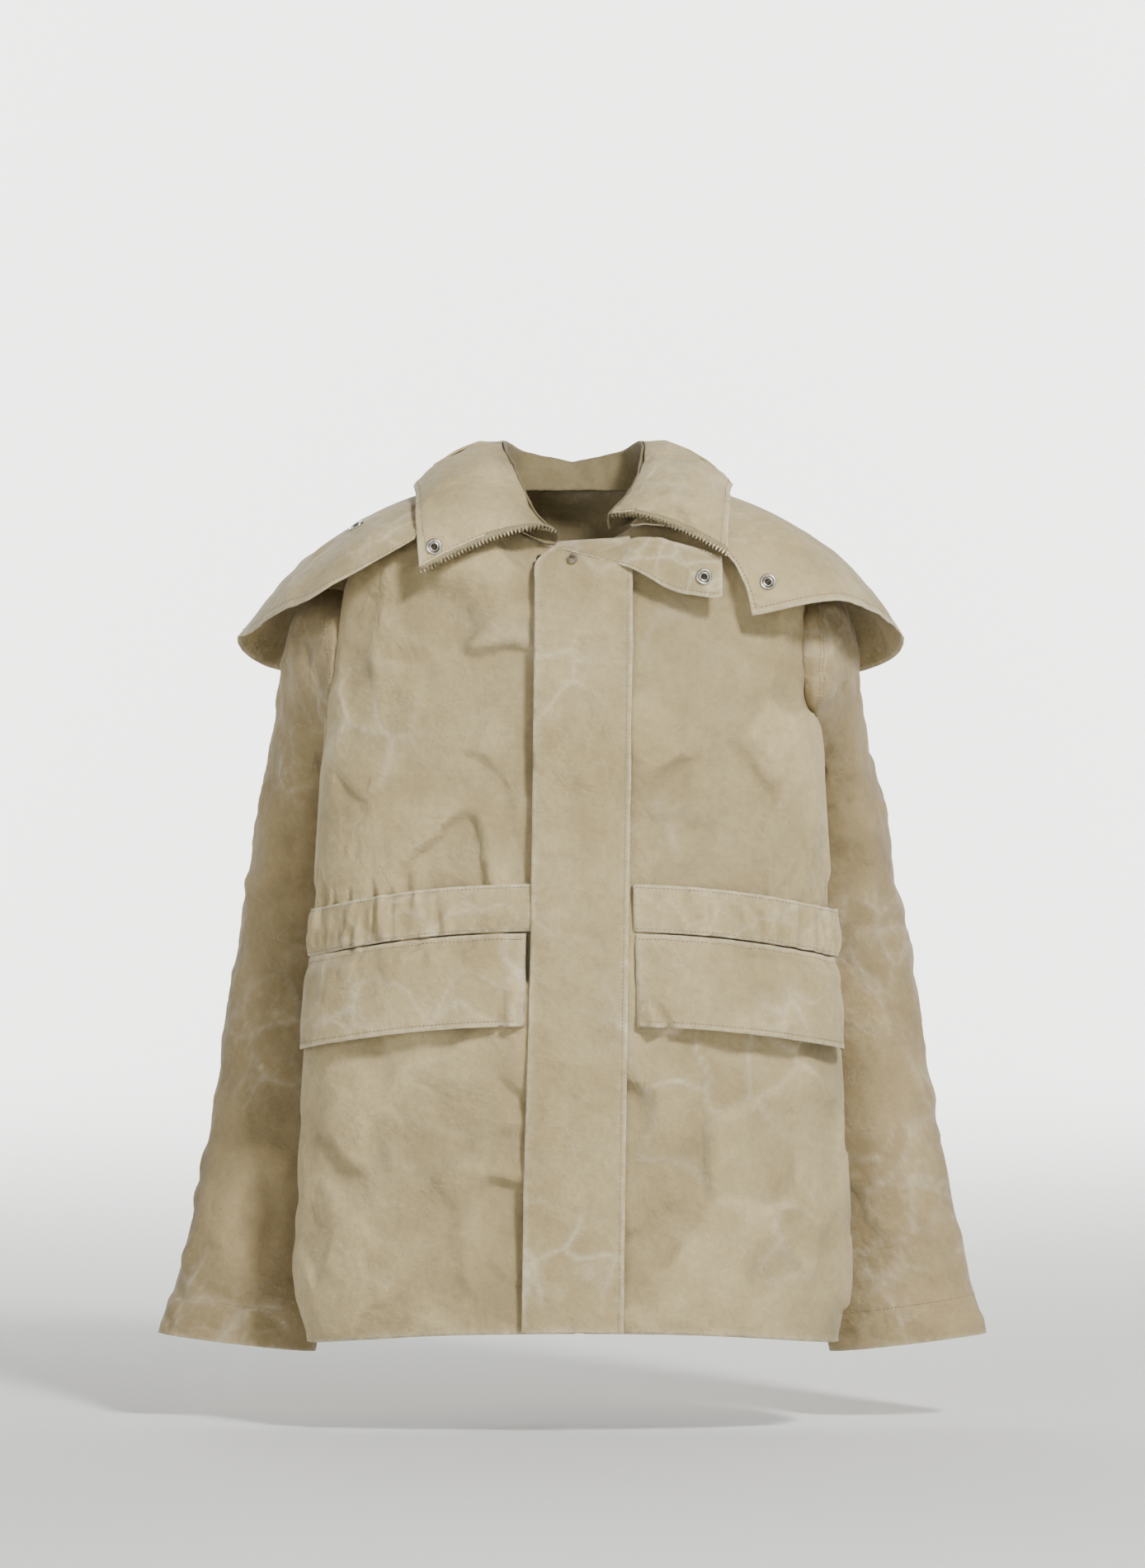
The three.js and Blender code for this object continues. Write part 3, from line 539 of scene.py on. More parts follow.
def agedMetal(name, bright, dull, roughness, spots):
    # cast and plated metal: bright where hands rub it, duller in the hollows
    material, tree, shader = shade(name)
    place = addNode(tree, "TexCoord").outputs["Object"]
    cloud = addNode(tree, "TexNoise", {"Scale": spots, "Detail": 5}, {"Vector": place})
    ramp = addNode(tree, "ValToRGB", {}, {"Fac": cloud.outputs["Fac"]})
    ramp.color_ramp.elements[0].position, ramp.color_ramp.elements[1].position = 0.4, 0.62
    ramp.color_ramp.elements[0].color, ramp.color_ramp.elements[1].color = linear(dull), linear(bright)
    tree.links.new(ramp.outputs["Color"], shader.inputs["Base Color"])
    rough = addNode(tree, "MapRange", {"To Min": roughness + 0.14, "To Max": roughness},
                    {"Value": cloud.outputs["Fac"]})
    tree.links.new(rough.outputs[0], shader.inputs["Roughness"])
    shader.inputs["Metallic"].default_value = 1
    return material


def spunThread():
    # polyester thread, twisted: a slight gloss along each stitch
    material, tree, shader = shade("spun_thread")
    place = addNode(tree, "TexCoord").outputs["Object"]
    fibre = addNode(tree, "TexNoise", {"Scale": 900, "Detail": 2}, {"Vector": place})
    ramp = addNode(tree, "ValToRGB", {}, {"Fac": fibre.outputs["Fac"]})
    ramp.color_ramp.elements[0].color, ramp.color_ramp.elements[1].color = linear("#6F6146"), linear("#A2926F")
    tree.links.new(ramp.outputs["Color"], shader.inputs["Base Color"])
    shader.inputs["Roughness"].default_value = 0.6
    return material


cloth = washedCanvas("washed_cotton_canvas", "#9D8D66", "#B5A47B", "#D8CEB4", 0.75)
# the sleeves' copy of the canvas is darker than the body's: painted shade for sleeves that sit back beside the
# torso, out of the light
sleeveClothPaintedShade = washedCanvas("washed_cotton_canvas_sleeve_painted_shade", "#8A7956", "#A2906A", "#CABFA4", 0.85)
lining = washedCanvas("canvas_wrong_side", "#75684A", "#867958", "#A89C7C", 0.4)
cottonTape = washedCanvas("zip_cotton_tape", "#8A7C5C", "#978A68", "#A99C7A", 0.2)
elastic = ribbedElastic()
brass = agedMetal("aged_zip_metal", "#B3A98C", "#6F6650", 0.34, 420)
nickel = agedMetal("plated_nickel", "#C9C6BE", "#9B9688", 0.24, 260)
recess = agedMetal("dull_snap_recess", "#5A5346", "#2C271F", 0.5, 300)
thread = spunThread()


# folds
def gathers(points, pitch=8, seed=3):
    # upright ripples of drawn-in cloth, deepest on the elastic and dying away above and below it
    wide = np.abs(points[:, 0])
    line = casing["top"] - casing["tall"] / 2 - casing["sag"] * np.clip(wide / casing["halfSpan"], 0, 1) ** 2
    off = points[:, 2] - line
    reach = np.where(off > 0, casing["reachUp"], casing["reachDown"])
    strength = np.exp(-(off / reach) ** 2)
    broad = softNoise(points * np.array([1, 1, 0.16]), pitch * 1.7, seed)
    fine = softNoise(points * np.array([1, 1, 0.3]), pitch * 0.8, seed + 1)
    calm = smooth(np.abs(wide - casing["deepestX"]), 0, casing["calmReach"]) * (wide < casing["deepestX"])
    middle = mix(1.3, 0.55, calm)
    return (1.5 * np.sqrt(np.abs(broad) + 0.01) - 0.8 + 0.9 * fine) * strength * middle


def shellFolds(points, u, v, near):
    facet, crease = crumple(points, 62, 11)
    streak = softNoise(points * np.array([1, 1, 0.22]), 34, 21)
    drag = softNoise(points * np.array([0.55, 0.55, 0.3]), 60, 25)
    quiet = smooth(near, 0, 14)
    height = (9.0 * facet + 3.0 * streak + 6.0 * drag) * quiet + 5.0 * gathers(points) * smooth(near, 0, 8)
    height = height + 1.2 * softNoise(points, 16, 5) * quiet + 0.8 * puckers(points, near, 8, 9)
    low = mix(-2.0, -9.0, smooth(points[:, 2], shell["hem"] + 20, shell["hem"] + 70))
    return np.clip(height - 1.2, low, 2.4), 0.5 * crease * smooth(softNoise(points, 90, 8), 0.0, 0.7)


def flatFolds(points, u, v, near):
    # small pieces of doubled cloth lie nearly flat, with puckered edges
    facet, crease = crumple(points, 40, 31)
    height = 1.0 * facet + 0.7 * softNoise(points, 14, 33) + 0.7 * puckers(points, near, 7, 35, 8)
    return height, 0.5 * crease * smooth(softNoise(points, 60, 38), -0.1, 0.6)


casing = {"top": -309, "tall": 41, "sag": 24, "height": 3.0, "from": 52, "to": -4, "halfSpan": 240,
          "reachUp": 52, "reachDown": 58, "deepestX": 130, "calmReach": 70}
placket = {"zipX": 6, "gap": 3.6}


def waistTop(angle):
    return casing["top"] - casing["sag"] * np.sin(angle) ** 2


# front and back panels
armhole = {"x": 150, "y": 0, "z": -88, "halfY": 58, "halfZ": 76}


def outsideArmhole(points, u, v):
    reach = ((points[:, 1] - armhole["y"]) / armhole["halfY"]) ** 2 + (
        (points[:, 2] - armhole["z"]) / armhole["halfZ"]) ** 2
    return (reach > 1) | (np.abs(points[:, 0]) < armhole["x"])


def frontPanel(side):
    def place(u, v):
        level = mix(shell["hem"], 0, v)
        centre = angleAt(placket["zipX"] + side * placket["gap"], level)
        return body(mix(centre, side * sideSeam, u), level)
    name = "frontPanel_" + sideNames[side]
    piece = clothGrid(name, place, (290, 740), 3.4, folds=shellFolds, keep=outsideArmhole, outward=side)
    settle(piece, root, cloth, ["front_panel_" + sideNames[side]])


def backPanel():
    def place(u, v):
        return body(mix(sideSeam, 2 * math.pi - sideSeam, u), mix(shell["hem"], 0, v))
    piece = clothGrid("backPanel", place, (610, 760), 3.8, folds=shellFolds, keep=outsideArmhole)
    settle(piece, root, cloth, ["back_panel"])


def bandInside():
    def place(u, v):
        level = mix(shell["hem"] + 1, shell["hem"] + 29, v)
        start, end = angleAt(22, level), 2 * math.pi + angleAt(-10, level)
        return raised(body, mix(start, end, u), level, np.full(np.shape(u), -4.6))
    piece = clothGrid("hemFacing", place, (1120, 28), 4, thick=1.0)
    settle(piece, root, lining, ["hem_facing"])


def waistCasing():
    def placeAt(lift):
        def place(u, v):
            start, end = angleAt(casing["from"], -330), 2 * math.pi + angleAt(casing["to"], -330)
            angle = mix(start, end, u)
            return raised(body, angle, waistTop(angle) - casing["tall"] * (1 - v), np.full(np.shape(u), lift))
        return place

    def rippled(points, u, v, near):
        facet, crease = crumple(points, 30, 51)
        belly = np.sin(math.pi * v) ** 0.6
        height = 3.6 * gathers(points) + 1.6 * belly + 1.2 * facet + 0.8 * softNoise(points, 9, 54)
        height = np.maximum(height, -0.6)
        return height, 0.35 * crease
    piece = clothGrid("waistCasing", placeAt(casing["height"]), (1150, 41), 2.6, folds=rippled)
    settle(piece, root, cloth, ["waist_casing"])
    band = clothGrid("waistElastic", placeAt(1.5), (1150, 30), 5, thick=0.6)
    settle(band, root, elastic, ["waist_elastic"])


for side in (-1, 1):
    frontPanel(side)
backPanel()
bandInside()
waistCasing()
print("body panels")


# sleeves: rings given by their outer and inner edge, mid depth and half depth
sleeveRings = {
    "outer": [(190, -58), (212, -52), (238, -60), (254, -104), (264, -167), (280, -247), (294, -333),
              (305, -396), (318, -475), (338, -583), (357, -671), (369, -709)],
    "inner": [(203, -172), (212, -186), (211, -198), (208, -212), (203, -234), (192, -282), (186, -352), (187, -420),
              (193, -502), (207, -606), (219, -690), (227, -726)],
    "depth": [(2, 67), (4, 74), (20, 74), (40, 72), (62, 68), (76, 66), (82, 63), (82, 62), (76, 58),
              (62, 50), (48, 42), (42, 36)],
}


def sleevePlace(side):
    outer = spline(*[(x, 0, z) for x, z in sleeveRings["outer"]])
    inner = spline(*[(x, 0, z) for x, z in sleeveRings["inner"]])
    depth = spline(*[(middle, half, 0) for middle, half in sleeveRings["depth"]])

    def place(u, v):
        u, v = paired(u, v)
        angle = 2 * math.pi * u
        share = (1 + np.cos(angle)) / 2
        out, into, deep = outer(1 - v), inner(1 - v), depth(1 - v)
        x = mix(into[..., 0], out[..., 0], share)
        z = mix(into[..., 2], out[..., 2], share)
        return vector3(x * side, deep[..., 0] - deep[..., 1] * np.sin(angle), z)
    return place


def sleeveFolds(side):
    def folds(points, u, v, near):
        facet, crease = crumple(points, 48, 61 + side)
        small, fine = crumple(points, 22, 71 + side)
        # cloth that sags on to the crook of the arm rides up in slanting rolls
        slant = points[:, 2] + 0.45 * points[:, 0] * side - 0.25 * points[:, 1]
        bend = np.exp(-((v - 0.55) / 0.22) ** 2)
        rolls = softNoise(np.stack([slant, points[:, 0] * 0.25, points[:, 1] * 0.25], -1), 46, 63 + side)
        long = softNoise(points * np.array([1, 1, 0.45]), 80, 69 + side)
        height = (2.6 * facet + 1.3 * small + 3.4 * long + rolls * (1.4 + 3.4 * bend)) * smooth(near, 0, 30) - 1
        height = height + 0.8 * softNoise(points, 12, 66) * smooth(near, 0, 6) + 0.5 * puckers(points, near, 7, 67)
        patch = smooth(softNoise(points, 70, 68), -0.1, 0.5)
        return height, (0.42 * crease + 0.25 * fine) * patch
    return folds


def sleeveBlend(side):
    return "sleeve_" + sideNames[side], (side * 0.206, 0.0, -0.09), (side * 0.262, 0.02, -0.12)


def sleeve(side):
    rider = "sleeve_" + sideNames[side]
    piece = clothGrid(rider + "Cloth", sleevePlace(side), (400, 680), 3.2, folds=sleeveFolds(side), edges="bt",
                      joinRound=True, outward=-side)
    settle(piece, root, sleeveClothPaintedShade, ["sleeve_" + sideNames[side]],
           sleeveBlend(side))

    def inside(u, v):
        place = sleevePlace(side)
        wall = -normalsOf(place, u, mix(0.004, 0.08, v), 0.002, 0.002) * side
        return place(u, mix(0.004, 0.08, v)) - wall * 4.4
    facing = clothGrid("cuffFacing_" + sideNames[side], inside, (300, 30), 4, thick=1.0, edges="bt",
                       joinRound=True, outward=-side)
    settle(facing, rider, lining, ["cuff_facing_" + sideNames[side]])


for side in (-1, 1):
    sleeve(side)
print("sleeves")


# stitches: one small spun capsule each, laid along a path in mm
def stitches(name, path, pitch=3.4, long=2.4, wide=0.8):
    path = np.asarray(path, float)
    steps = np.linalg.norm(np.diff(path, axis=0), axis=1)
    gone = np.concatenate([[0], np.cumsum(steps)])
    count = max(2, int(gone[-1] / pitch))
    marks = np.linspace(0, gone[-1], count)
    places = np.stack([np.interp(marks, gone, path[:, i]) for i in range(3)], -1)
    ahead = np.gradient(places, axis=0)
    bm = bmesh.new()
    for place, way in zip(places, ahead):
        turn = Vector(way).to_track_quat("X", "Z").to_matrix().to_4x4()
        size = Matrix.Diagonal((long / 2 * mm, wide / 2 * mm, wide / 2 * mm, 1))
        bmesh.ops.create_uvsphere(bm, u_segments=5, v_segments=4, radius=1,
                                  matrix=Matrix.Translation(Vector(place) * mm) @ turn @ size)
    return linked(name, bm, thread)


def seam(name, clothName, line, rider, blend=None, lift=0.3, keep=None):
    # a row of stitches along line(t) -> (u, v) on a finished cloth
    t = np.linspace(0, 1, 420)
    u, v = line(t)
    points = onCloth(clothName, u, v, lift)[0]
    if keep is not None:
        points = points[keep(points)]
    row = stitches(name, points)
    if blend:
        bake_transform(row)
    else:
        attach(row, rider)


# storm flap: stitched to the left front, lying free over the zip
flap = {"width": 84, "rise": 7.2, "edgeRise": 5.2, "top": -12, "foot": -695, "bendFrom": -62, "bendTo": -120,
        "snapLevels": (-168, -338, -512, -662), "snapX": -19}
stitchedX = through([(-696, 43.5), (-60, 51.5), (0, 50)])


def flapPlace(u, v):
    level = mix(flap["foot"], flap["top"], v)
    right = stitchedX(level)
    left = right - flap["width"] - 3 * smooth(-level, 350, 600) + 20 * smooth(level, -44, -14) ** 1.5
    height = flap["edgeRise"] + (flap["rise"] - flap["edgeRise"]) * np.sin(math.pi * np.clip(u, 0, 1))
    return raised(front, mix(left, right, u), level, height + 1.2, 0.5, 0.5)


def flapFolds(points, u, v, near):
    facet, crease = crumple(points, 54, 81)
    across = softNoise(points * np.array([0.5, 1, 1.3]), 26, 82)
    height = 1.5 * facet + 1.0 * across + 0.6 * softNoise(points, 12, 83) + 0.7 * puckers(points, near, 8, 84)
    # the hidden snaps press through as low domes
    for level in flap["snapLevels"]:
        spot = np.exp(-((points[:, 2] - level) ** 2 + (points[:, 0] - flap["snapX"]) ** 2) / 70)
        height = height + 1.7 * spot
        crease = crease + 0.8 * spot * (1 - spot)
    return height * smooth(near, 0, 5) ** 0.5, 0.6 * crease * smooth(softNoise(points, 70, 88), -0.2, 0.5)


def stormFlap():
    piece = clothGrid("stormFlap", flapPlace, (84, 690), 2.6, thick=1.8, folds=flapFolds)
    start, end = (0.02, -0.13, flap["bendFrom"] * mm), (0.02, -0.14, flap["bendTo"] * mm)
    blend = ("storm_flap", start, end)
    settle(piece, root, cloth, ["storm_flap", "storm_flap_head"], blend)
    seam("stormFlapStitch", "stormFlap", lambda t: (0.95, mix(0.004, 0.97, t)), root, blend)


# pockets: a bellows bag under a wide flap
pocket = {"rightInner": -40, "leftInner": 54, "below": 42.5, "drop": 80, "depth": 215, "flapEnd": 82,
          "bagEnd": 66, "bagTop": 34, "bulge": 8.5}


def pocketAngles(side, inner, end):
    return angleAt(inner, -360), side * math.radians(end)


def pocketFlapPlace(side):
    inner = pocket["leftInner"] if side > 0 else pocket["rightInner"]
    start, end = pocketAngles(side, inner, pocket["flapEnd"])

    def place(u, v):
        angle = mix(start, end, u)
        level = waistTop(angle) - pocket["below"] - pocket["drop"] * (1 - v)
        lift = smooth(1 - v, 0, 0.22) * np.clip(np.sin(math.pi * np.clip(u, 0.001, 0.999)), 0, 1) ** 0.4
        return raised(body, angle, level, 3.2 + 11.5 * lift)
    return place


# the bellows tucked into the inner end of each flap: a cone that opens downwards
pocketTucks = [
    {"start": (61, -394), "end": (80, -446), "wide": 11, "high": 8.5},
    {"start": (-50, -372), "end": (-58, -442), "wide": 9, "high": 6.5},
]


def tuckHeight(points, start, end, wide, high):
    run = np.array([end[0] - start[0], end[1] - start[1]], float)
    away = points[:, [0, 2]] - np.array(start)
    along = np.clip(away @ run / (run @ run), 0, 1.2)
    across = (away[:, 0] * run[1] - away[:, 1] * run[0]) / np.linalg.norm(run) * np.sign(run[0])
    width = wide * mix(0.25, 1, along)
    ridge = np.exp(-((across - 0.4 * width) / (0.6 * width)) ** 2)
    valley = np.exp(-((across + 0.7 * width) / (0.35 * width)) ** 2)
    return high * smooth(along, 0, 0.9) * (ridge - 0.75 * valley)


def pocketFlapFolds(points, u, v, near):
    facet, crease = crumple(points, 44, 91)
    height = 1.6 * facet + 0.8 * softNoise(points * np.array([1, 1, 0.6]), 16, 92) + 0.7 * puckers(
        points, near, 8, 93)
    height = height + 1.5 * gathers(points) * smooth(v, 0.2, 0.95)
    for tuck in pocketTucks:
        height = height + tuckHeight(points, **tuck)
    return height, 0.6 * crease * smooth(softNoise(points, 60, 98), -0.2, 0.5)


def pocketFlap(side):
    name = "pocketFlap_" + sideNames[side]
    node = "pocket_flap_" + sideNames[side]
    place = pocketFlapPlace(side)
    piece = clothGrid(name, place, (230, 84), 2.6, thick=1.8, folds=pocketFlapFolds, outward=side)
    settle(piece, node, cloth, [node])
    seam(name + "Stitch", name, lambda t: (mix(0.01, 0.99, t), 0.94), node)
    seam(name + "Edge", name, lambda t: (mix(0.03, 0.97, t), 0.06), node)


def pocketBag(side):
    inner = pocket["leftInner"] if side > 0 else pocket["rightInner"]
    start, end = pocketAngles(side, inner, pocket["bagEnd"])

    def place(u, v):
        angle = mix(start, end, u)
        level = waistTop(angle) - pocket["below"] - pocket["bagTop"] - pocket["depth"] * (1 - v)
        arch = np.clip(np.sin(math.pi * np.clip(u, 0.001, 0.999)), 0, 1) ** 0.5
        belly = np.clip(np.sin(math.pi * np.minimum(1 - v, 0.5)), 0, 1) ** 0.5
        outside = smooth(v, 0.78, 0.86)
        return raised(body, angle, level, mix(-12.5, 0.6 + pocket["bulge"] * arch * belly + 1.2, outside))
    name = "pocketBag_" + sideNames[side]
    piece = clothGrid(name, place, (200, 215), 3.2, folds=flatFolds, outward=side)
    settle(piece, root, cloth, ["pocket_bag_" + sideNames[side]])


stormFlap()
for side in (-1, 1):
    pocketFlap(side)
    pocketBag(side)
print("flaps and pockets")


# shoulder cape, drawn from the neck over a roll to its free edge
capeLines = {
    -1: {"neck": [(50, -106, 0), (80, -64, 31.2), (84, -8, 42.7), (69, 45, 44.3), (0, 68, 43.3)],
         "roll": [(122, -122, 14), (186, -90, 20), (222, 0, 19), (186, 94, 20), (0, 142, 18)],
         "edge": [(136, -124, -12), (226, -116, -62), (292, 12, -100), (228, 118, -128), (0, 156, -134)]},
    1: {"neck": [(50, -106, 0), (80, -64, 31.2), (84, -8, 42.7), (69, 45, 44.3), (0, 68, 43.3)],
        "roll": [(143, -124, 6), (194, -88, 18), (222, 0, 19), (186, 94, 20), (0, 142, 18)],
        "edge": [(155, -126, -78), (236, -112, -66), (292, 12, -100), (228, 118, -128), (0, 156, -134)]},
}


def aroundBack(lines, key):
    # one curve from the right front round the centre back to the left front
    right = [(-x, y, z) for x, y, z in lines[-1][key]]
    left = [(x, y, z) for x, y, z in lines[1][key]][::-1]
    return spline(*(right + left[1:]))


def rolled(first, second, third, v):
    v = np.asarray(v, float)[..., None]
    return first * (1 - v) ** 2 + second * 2 * v * (1 - v) + third * v * v


capeCurves = [aroundBack(capeLines, key) for key in ("neck", "roll", "edge")]


def capePlace(u, v):
    # u from the right front edge to the left front edge, v from the free edge up to the neck
    u, v = paired(u, v)
    neck, roll, edge = (curve(u) for curve in capeCurves)
    return rolled(neck, roll, edge, 1 - v)


def capeFolds(points, u, v, near):
    facet, crease = crumple(points, 50, 101)
    small, fine = crumple(points, 24, 104)
    free = smooth(1 - v, 0.25, 0.7)
    height = (2.4 * facet + 1.0 * small + 1.6 * softNoise(points, 40, 102)) * free + 0.7 * puckers(
        points, near, 9, 103)
    height = np.maximum(height, -1.6) + 1.8
    return height, (0.4 * crease + 0.2 * fine) * smooth(softNoise(points, 60, 108), -0.3, 0.4)


capeSplit = 112
capeSize = (1000, 165)


def capeBlend(side):
    return "cape_wing_" + sideNames[side], (side * 0.113, 0, 0.03), (side * 0.165, 0, 0.0)


def cape():
    wall = [((capeSplit, 0, 0), (1, 0, 0)), ((-capeSplit, 0, 0), (-1, 0, 0))]
    middle = clothGrid("capeCentre", capePlace, capeSize, 3.0, folds=capeFolds, cuts=wall, thick=1.4,
                       outward=-1)
    settle(middle, root, cloth, ["cape_center"])
    for side in (-1, 1):
        name = "cape_wing_" + sideNames[side]
        wing = clothGrid("capeWing_" + sideNames[side], capePlace, capeSize, 3.0, folds=capeFolds, thick=1.4,
                         outward=-1, cuts=[((side * capeSplit, 0, 0), (-side, 0, 0))])
        settle(wing, root, cloth, [name], capeBlend(side))


cape()
print("cape")


# collar: two leaves and a fall at the back, turned down from a fold over a stand
collarLines = {
    -1: {"fold": [(-12, -114, -5), (-32, -100, 13), (-50, -64, 52), (-61, 4, 79), (-42, 54, 72), (0, 72, 64)],
         "roll": [(-52, -128, 8), (-84, -122, 26), (-98, -66, 62), (-104, 0, 74), (-70, 86, 66), (0, 108, 60)],
         "edge": [(-132, -132, -38), (-134, -124, -6), (-135, -86, 24), (-135, 0, 40), (-106, 94, 27),
                  (0, 132, 12)],
         "foot": [(-13, -104, -12), (-36, -90, -4), (-66, -56, 20), (-76, 0, 40.3), (-58, 40, 42.2),
                  (0, 58, 42.2)]},
    1: {"fold": [(31, -104, 11), (48, -82, 30), (60, -44, 54), (61, 4, 79), (42, 54, 72), (0, 72, 64)],
        "roll": [(80, -124, 12), (88, -112, 32), (98, -66, 60), (104, 0, 74), (70, 86, 66), (0, 108, 60)],
        "edge": [(134, -132, -23), (134, -122, 4), (135, -86, 24), (135, 0, 40), (106, 94, 27), (0, 132, 12)],
        "foot": [(32, -94, 0), (48, -76, 8), (66, -52, 22), (76, 0, 40.3), (58, 40, 42.2), (0, 58, 42.2)]},
}
collarCurves = {side: {key: spline(*lines[key]) for key in lines} for side, lines in collarLines.items()}
leafEnd, leafLift = 0.56, 3.6


def leafPlace(side):
    # u from the front edge towards the centre back, v from the free edge up to the fold
    curves = collarCurves[side]

    def place(u, v):
        u, v = paired(u, v)
        return rolled(curves["fold"](u), curves["roll"](u), curves["edge"](u), 1 - v)
    return place


def leafFolds(seed, strength):
    def folds(points, u, v, near):
        facet, crease = crumple(points, 42, seed)
        small, fine = crumple(points, 20, seed + 4)
        height = strength * (1.8 * facet + 0.7 * small) + 1.2 * softNoise(points, 30, seed + 6)
        height = height + 0.8 * puckers(points, near, 8, seed + 8)
        height = height + leafLift * smooth(1 - v, 0.02, 0.25)
        return height, (0.35 * crease + 0.2 * fine) * smooth(softNoise(points, 50, seed + 9), -0.3, 0.4)
    return folds


def collarLeaf(side):
    node = "collar_leaf_" + sideNames[side]
    whole = leafPlace(side)

    def place(u, v):
        return whole(mix(0.005, leafEnd, u), mix(0.0, 0.985, v))
    piece = clothGrid("collarLeaf_" + sideNames[side], place, (175, 110), 2.4, thick=2.0,
                      folds=leafFolds(121 + 20 * side, 1.0 if side < 0 else 1.5), edges="lbr", outward=side)
    settle(piece, node, cloth, [node])
    return place


def backFall():
    def place(u, v):
        u, v = paired(u, v)
        along = mix(leafEnd, 2 - leafEnd, u)
        right = leafPlace(-1)(np.minimum(along, 1), v * 0.985)
        left = leafPlace(1)(np.clip(2 - along, 0, 1), v * 0.985)
        return np.where((along <= 1)[..., None], right, left)
    piece = clothGrid("collarBack", place, (250, 84), 2.8, thick=2.0, folds=leafFolds(171, 1.0), edges="b",
                      outward=-1)
    settle(piece, root, cloth, ["collar_back_fall"])


stand = {"below": -0.2, "centreY": -20, "inset": 1.0, "belly": 2.0}


def collarStand():
    def half(side, along):
        curves = collarCurves[side]
        return curves["foot"](along), curves["fold"](along)

    def place(u, v):
        u, v = paired(u, v)
        along = 2 * u
        onRight = (along <= 1)[..., None]
        footR, foldR = half(-1, np.minimum(along, 1))
        footL, foldL = half(1, np.clip(2 - along, 0, 1))
        foot, fold = np.where(onRight, footR, footL), np.where(onRight, foldR, foldL)
        point = mix(foot, fold, mix(stand["below"], 1, v)[..., None])
        inward = point * np.array([1, 1, 0]) - np.array([0, stand["centreY"], 0])
        inward = inward / np.maximum(np.linalg.norm(inward, axis=-1, keepdims=True), 1)
        inset = stand["inset"] + stand["belly"] * np.sin(math.pi * np.clip(v, 0, 1))
        return point - inward * inset[..., None]

    def drape(points, u, v, near):
        facet, crease = crumple(points, 34, 191)
        return np.abs(1.6 * facet + 1.4 * softNoise(points * np.array([1, 1, 0.3]), 18, 192)), 0.3 * crease
    piece = clothGrid("collarStand", place, (420, 42), 2.8, thick=1.4, folds=drape, edges="lr")
    settle(piece, root, lining, ["collar_stand"])


# turned-back top of the storm flap
lapelTop = through([(-10, -17), (31, -16), (62, -10), (96, -16), (131, -27)])
lapelBottom = through([(-10, -20), (19, -27), (50, -37), (85, -56), (107, -61), (125, -63), (131, -60)])
lapelRise = through([(-10, 9.4), (60, 9.6), (131, 15)])


def lapelPlace(u, v):
    u, v = paired(u, v)
    x = mix(-9, 129, u)
    z = mix(lapelBottom(x), lapelTop(x), v)
    point = frontAtHeight(x, z)
    return point + vector3(0 * x, -(lapelRise(x) + 2.2), 0 * x)


def lapel():
    def folds(points, u, v, near):
        facet, crease = crumple(points, 30, 201)
        wave = np.sin(u * 15) * (1 - v) * smooth(u, 0.1, 0.5)
        return 1.4 * facet + 1.3 * wave + 0.7 * puckers(points, near, 7, 203), 0.6 * crease
    piece = clothGrid("stormLapel", lapelPlace, (138, 45), 2.0, thick=1.8, folds=folds)
    settle(piece, root, cloth, ["storm_lapel"])
    seam("stormLapelStitch", "stormLapel", lambda t: (mix(0.06, 0.97, t), 0.1), root)


leafPlaces = {side: collarLeaf(side) for side in (-1, 1)}
backFall()
collarStand()
lapel()
print("collar")


# zips: a tape with a row of small bevelled teeth along its edge
def teeth(name, path, out, pitch=3.3, size=(1.5, 3.4, 2.4), stagger=0.5):
    # path and out are arrays: where each row runs, and the way its teeth point
    path, out = np.asarray(path, float), np.asarray(out, float)
    gone = np.concatenate([[0], np.cumsum(np.linalg.norm(np.diff(path, axis=0), axis=1))])
    marks = np.arange(pitch * stagger, gone[-1], pitch)
    places = np.stack([np.interp(marks, gone, path[:, i]) for i in range(3)], -1)
    ways = np.stack([np.interp(marks, gone, out[:, i]) for i in range(3)], -1)
    ahead = np.gradient(places, axis=0)
    bm = bmesh.new()
    for place, way, along in zip(places, ways, ahead):
        x = Vector(along).normalized()
        z = x.cross(Vector(way)).normalized()
        turn = Matrix((x, z.cross(x), z)).transposed().to_4x4()
        scale = Matrix.Diagonal((size[0] * mm, size[1] * mm, size[2] * mm, 1))
        bmesh.ops.create_cube(bm, size=1, matrix=Matrix.Translation(Vector(place) * mm) @ turn @ scale)
    bmesh.ops.bevel(bm, geom=bm.edges[:], offset=0.35 * mm, offset_type="OFFSET", affect="EDGES", segments=1,
                    profile=0.5, material=-1)
    piece = linked(name, bm, brass, False)
    return piece


def collarZip(side):
    place = leafPlaces[side]
    node = "collar_zip_" + sideNames[side]
    along = np.linspace(0.0, 0.97, 90)
    edge = place(np.zeros(90), along)
    inner = place(np.full(90, 0.05), along)
    out = edge - inner
    out = out / np.linalg.norm(out, axis=1)[:, None]
    lift = normalsOf(place, np.full(90, 0.01), along, 0.005, 0.005) * side
    low = edge + lift * (leafLift * smooth(1 - along, 0.02, 0.25) - 0.4)[:, None]

    def tapePlace(u, v):
        u, v = paired(u, v)
        row = np.stack([np.interp(v, np.linspace(0, 1, 90), low[:, i]) for i in range(3)], -1)
        way = np.stack([np.interp(v, np.linspace(0, 1, 90), out[:, i]) for i in range(3)], -1)
        return row + way * (mix(-2, 4.6, u))[..., None]
    tape = clothGrid("collarZipTape_" + sideNames[side], tapePlace, (5.4, 105), 2.0, thick=0.7, edges="lr",
                     outward=side)
    rider = "collar_leaf_" + sideNames[side]
    settle(tape, rider, cottonTape, [node])
    row = teeth("collarZipTeeth_" + sideNames[side], low + out * 5.0 + lift * 0.9, out, size=(1.7, 4.6, 2.6))
    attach(row, rider)


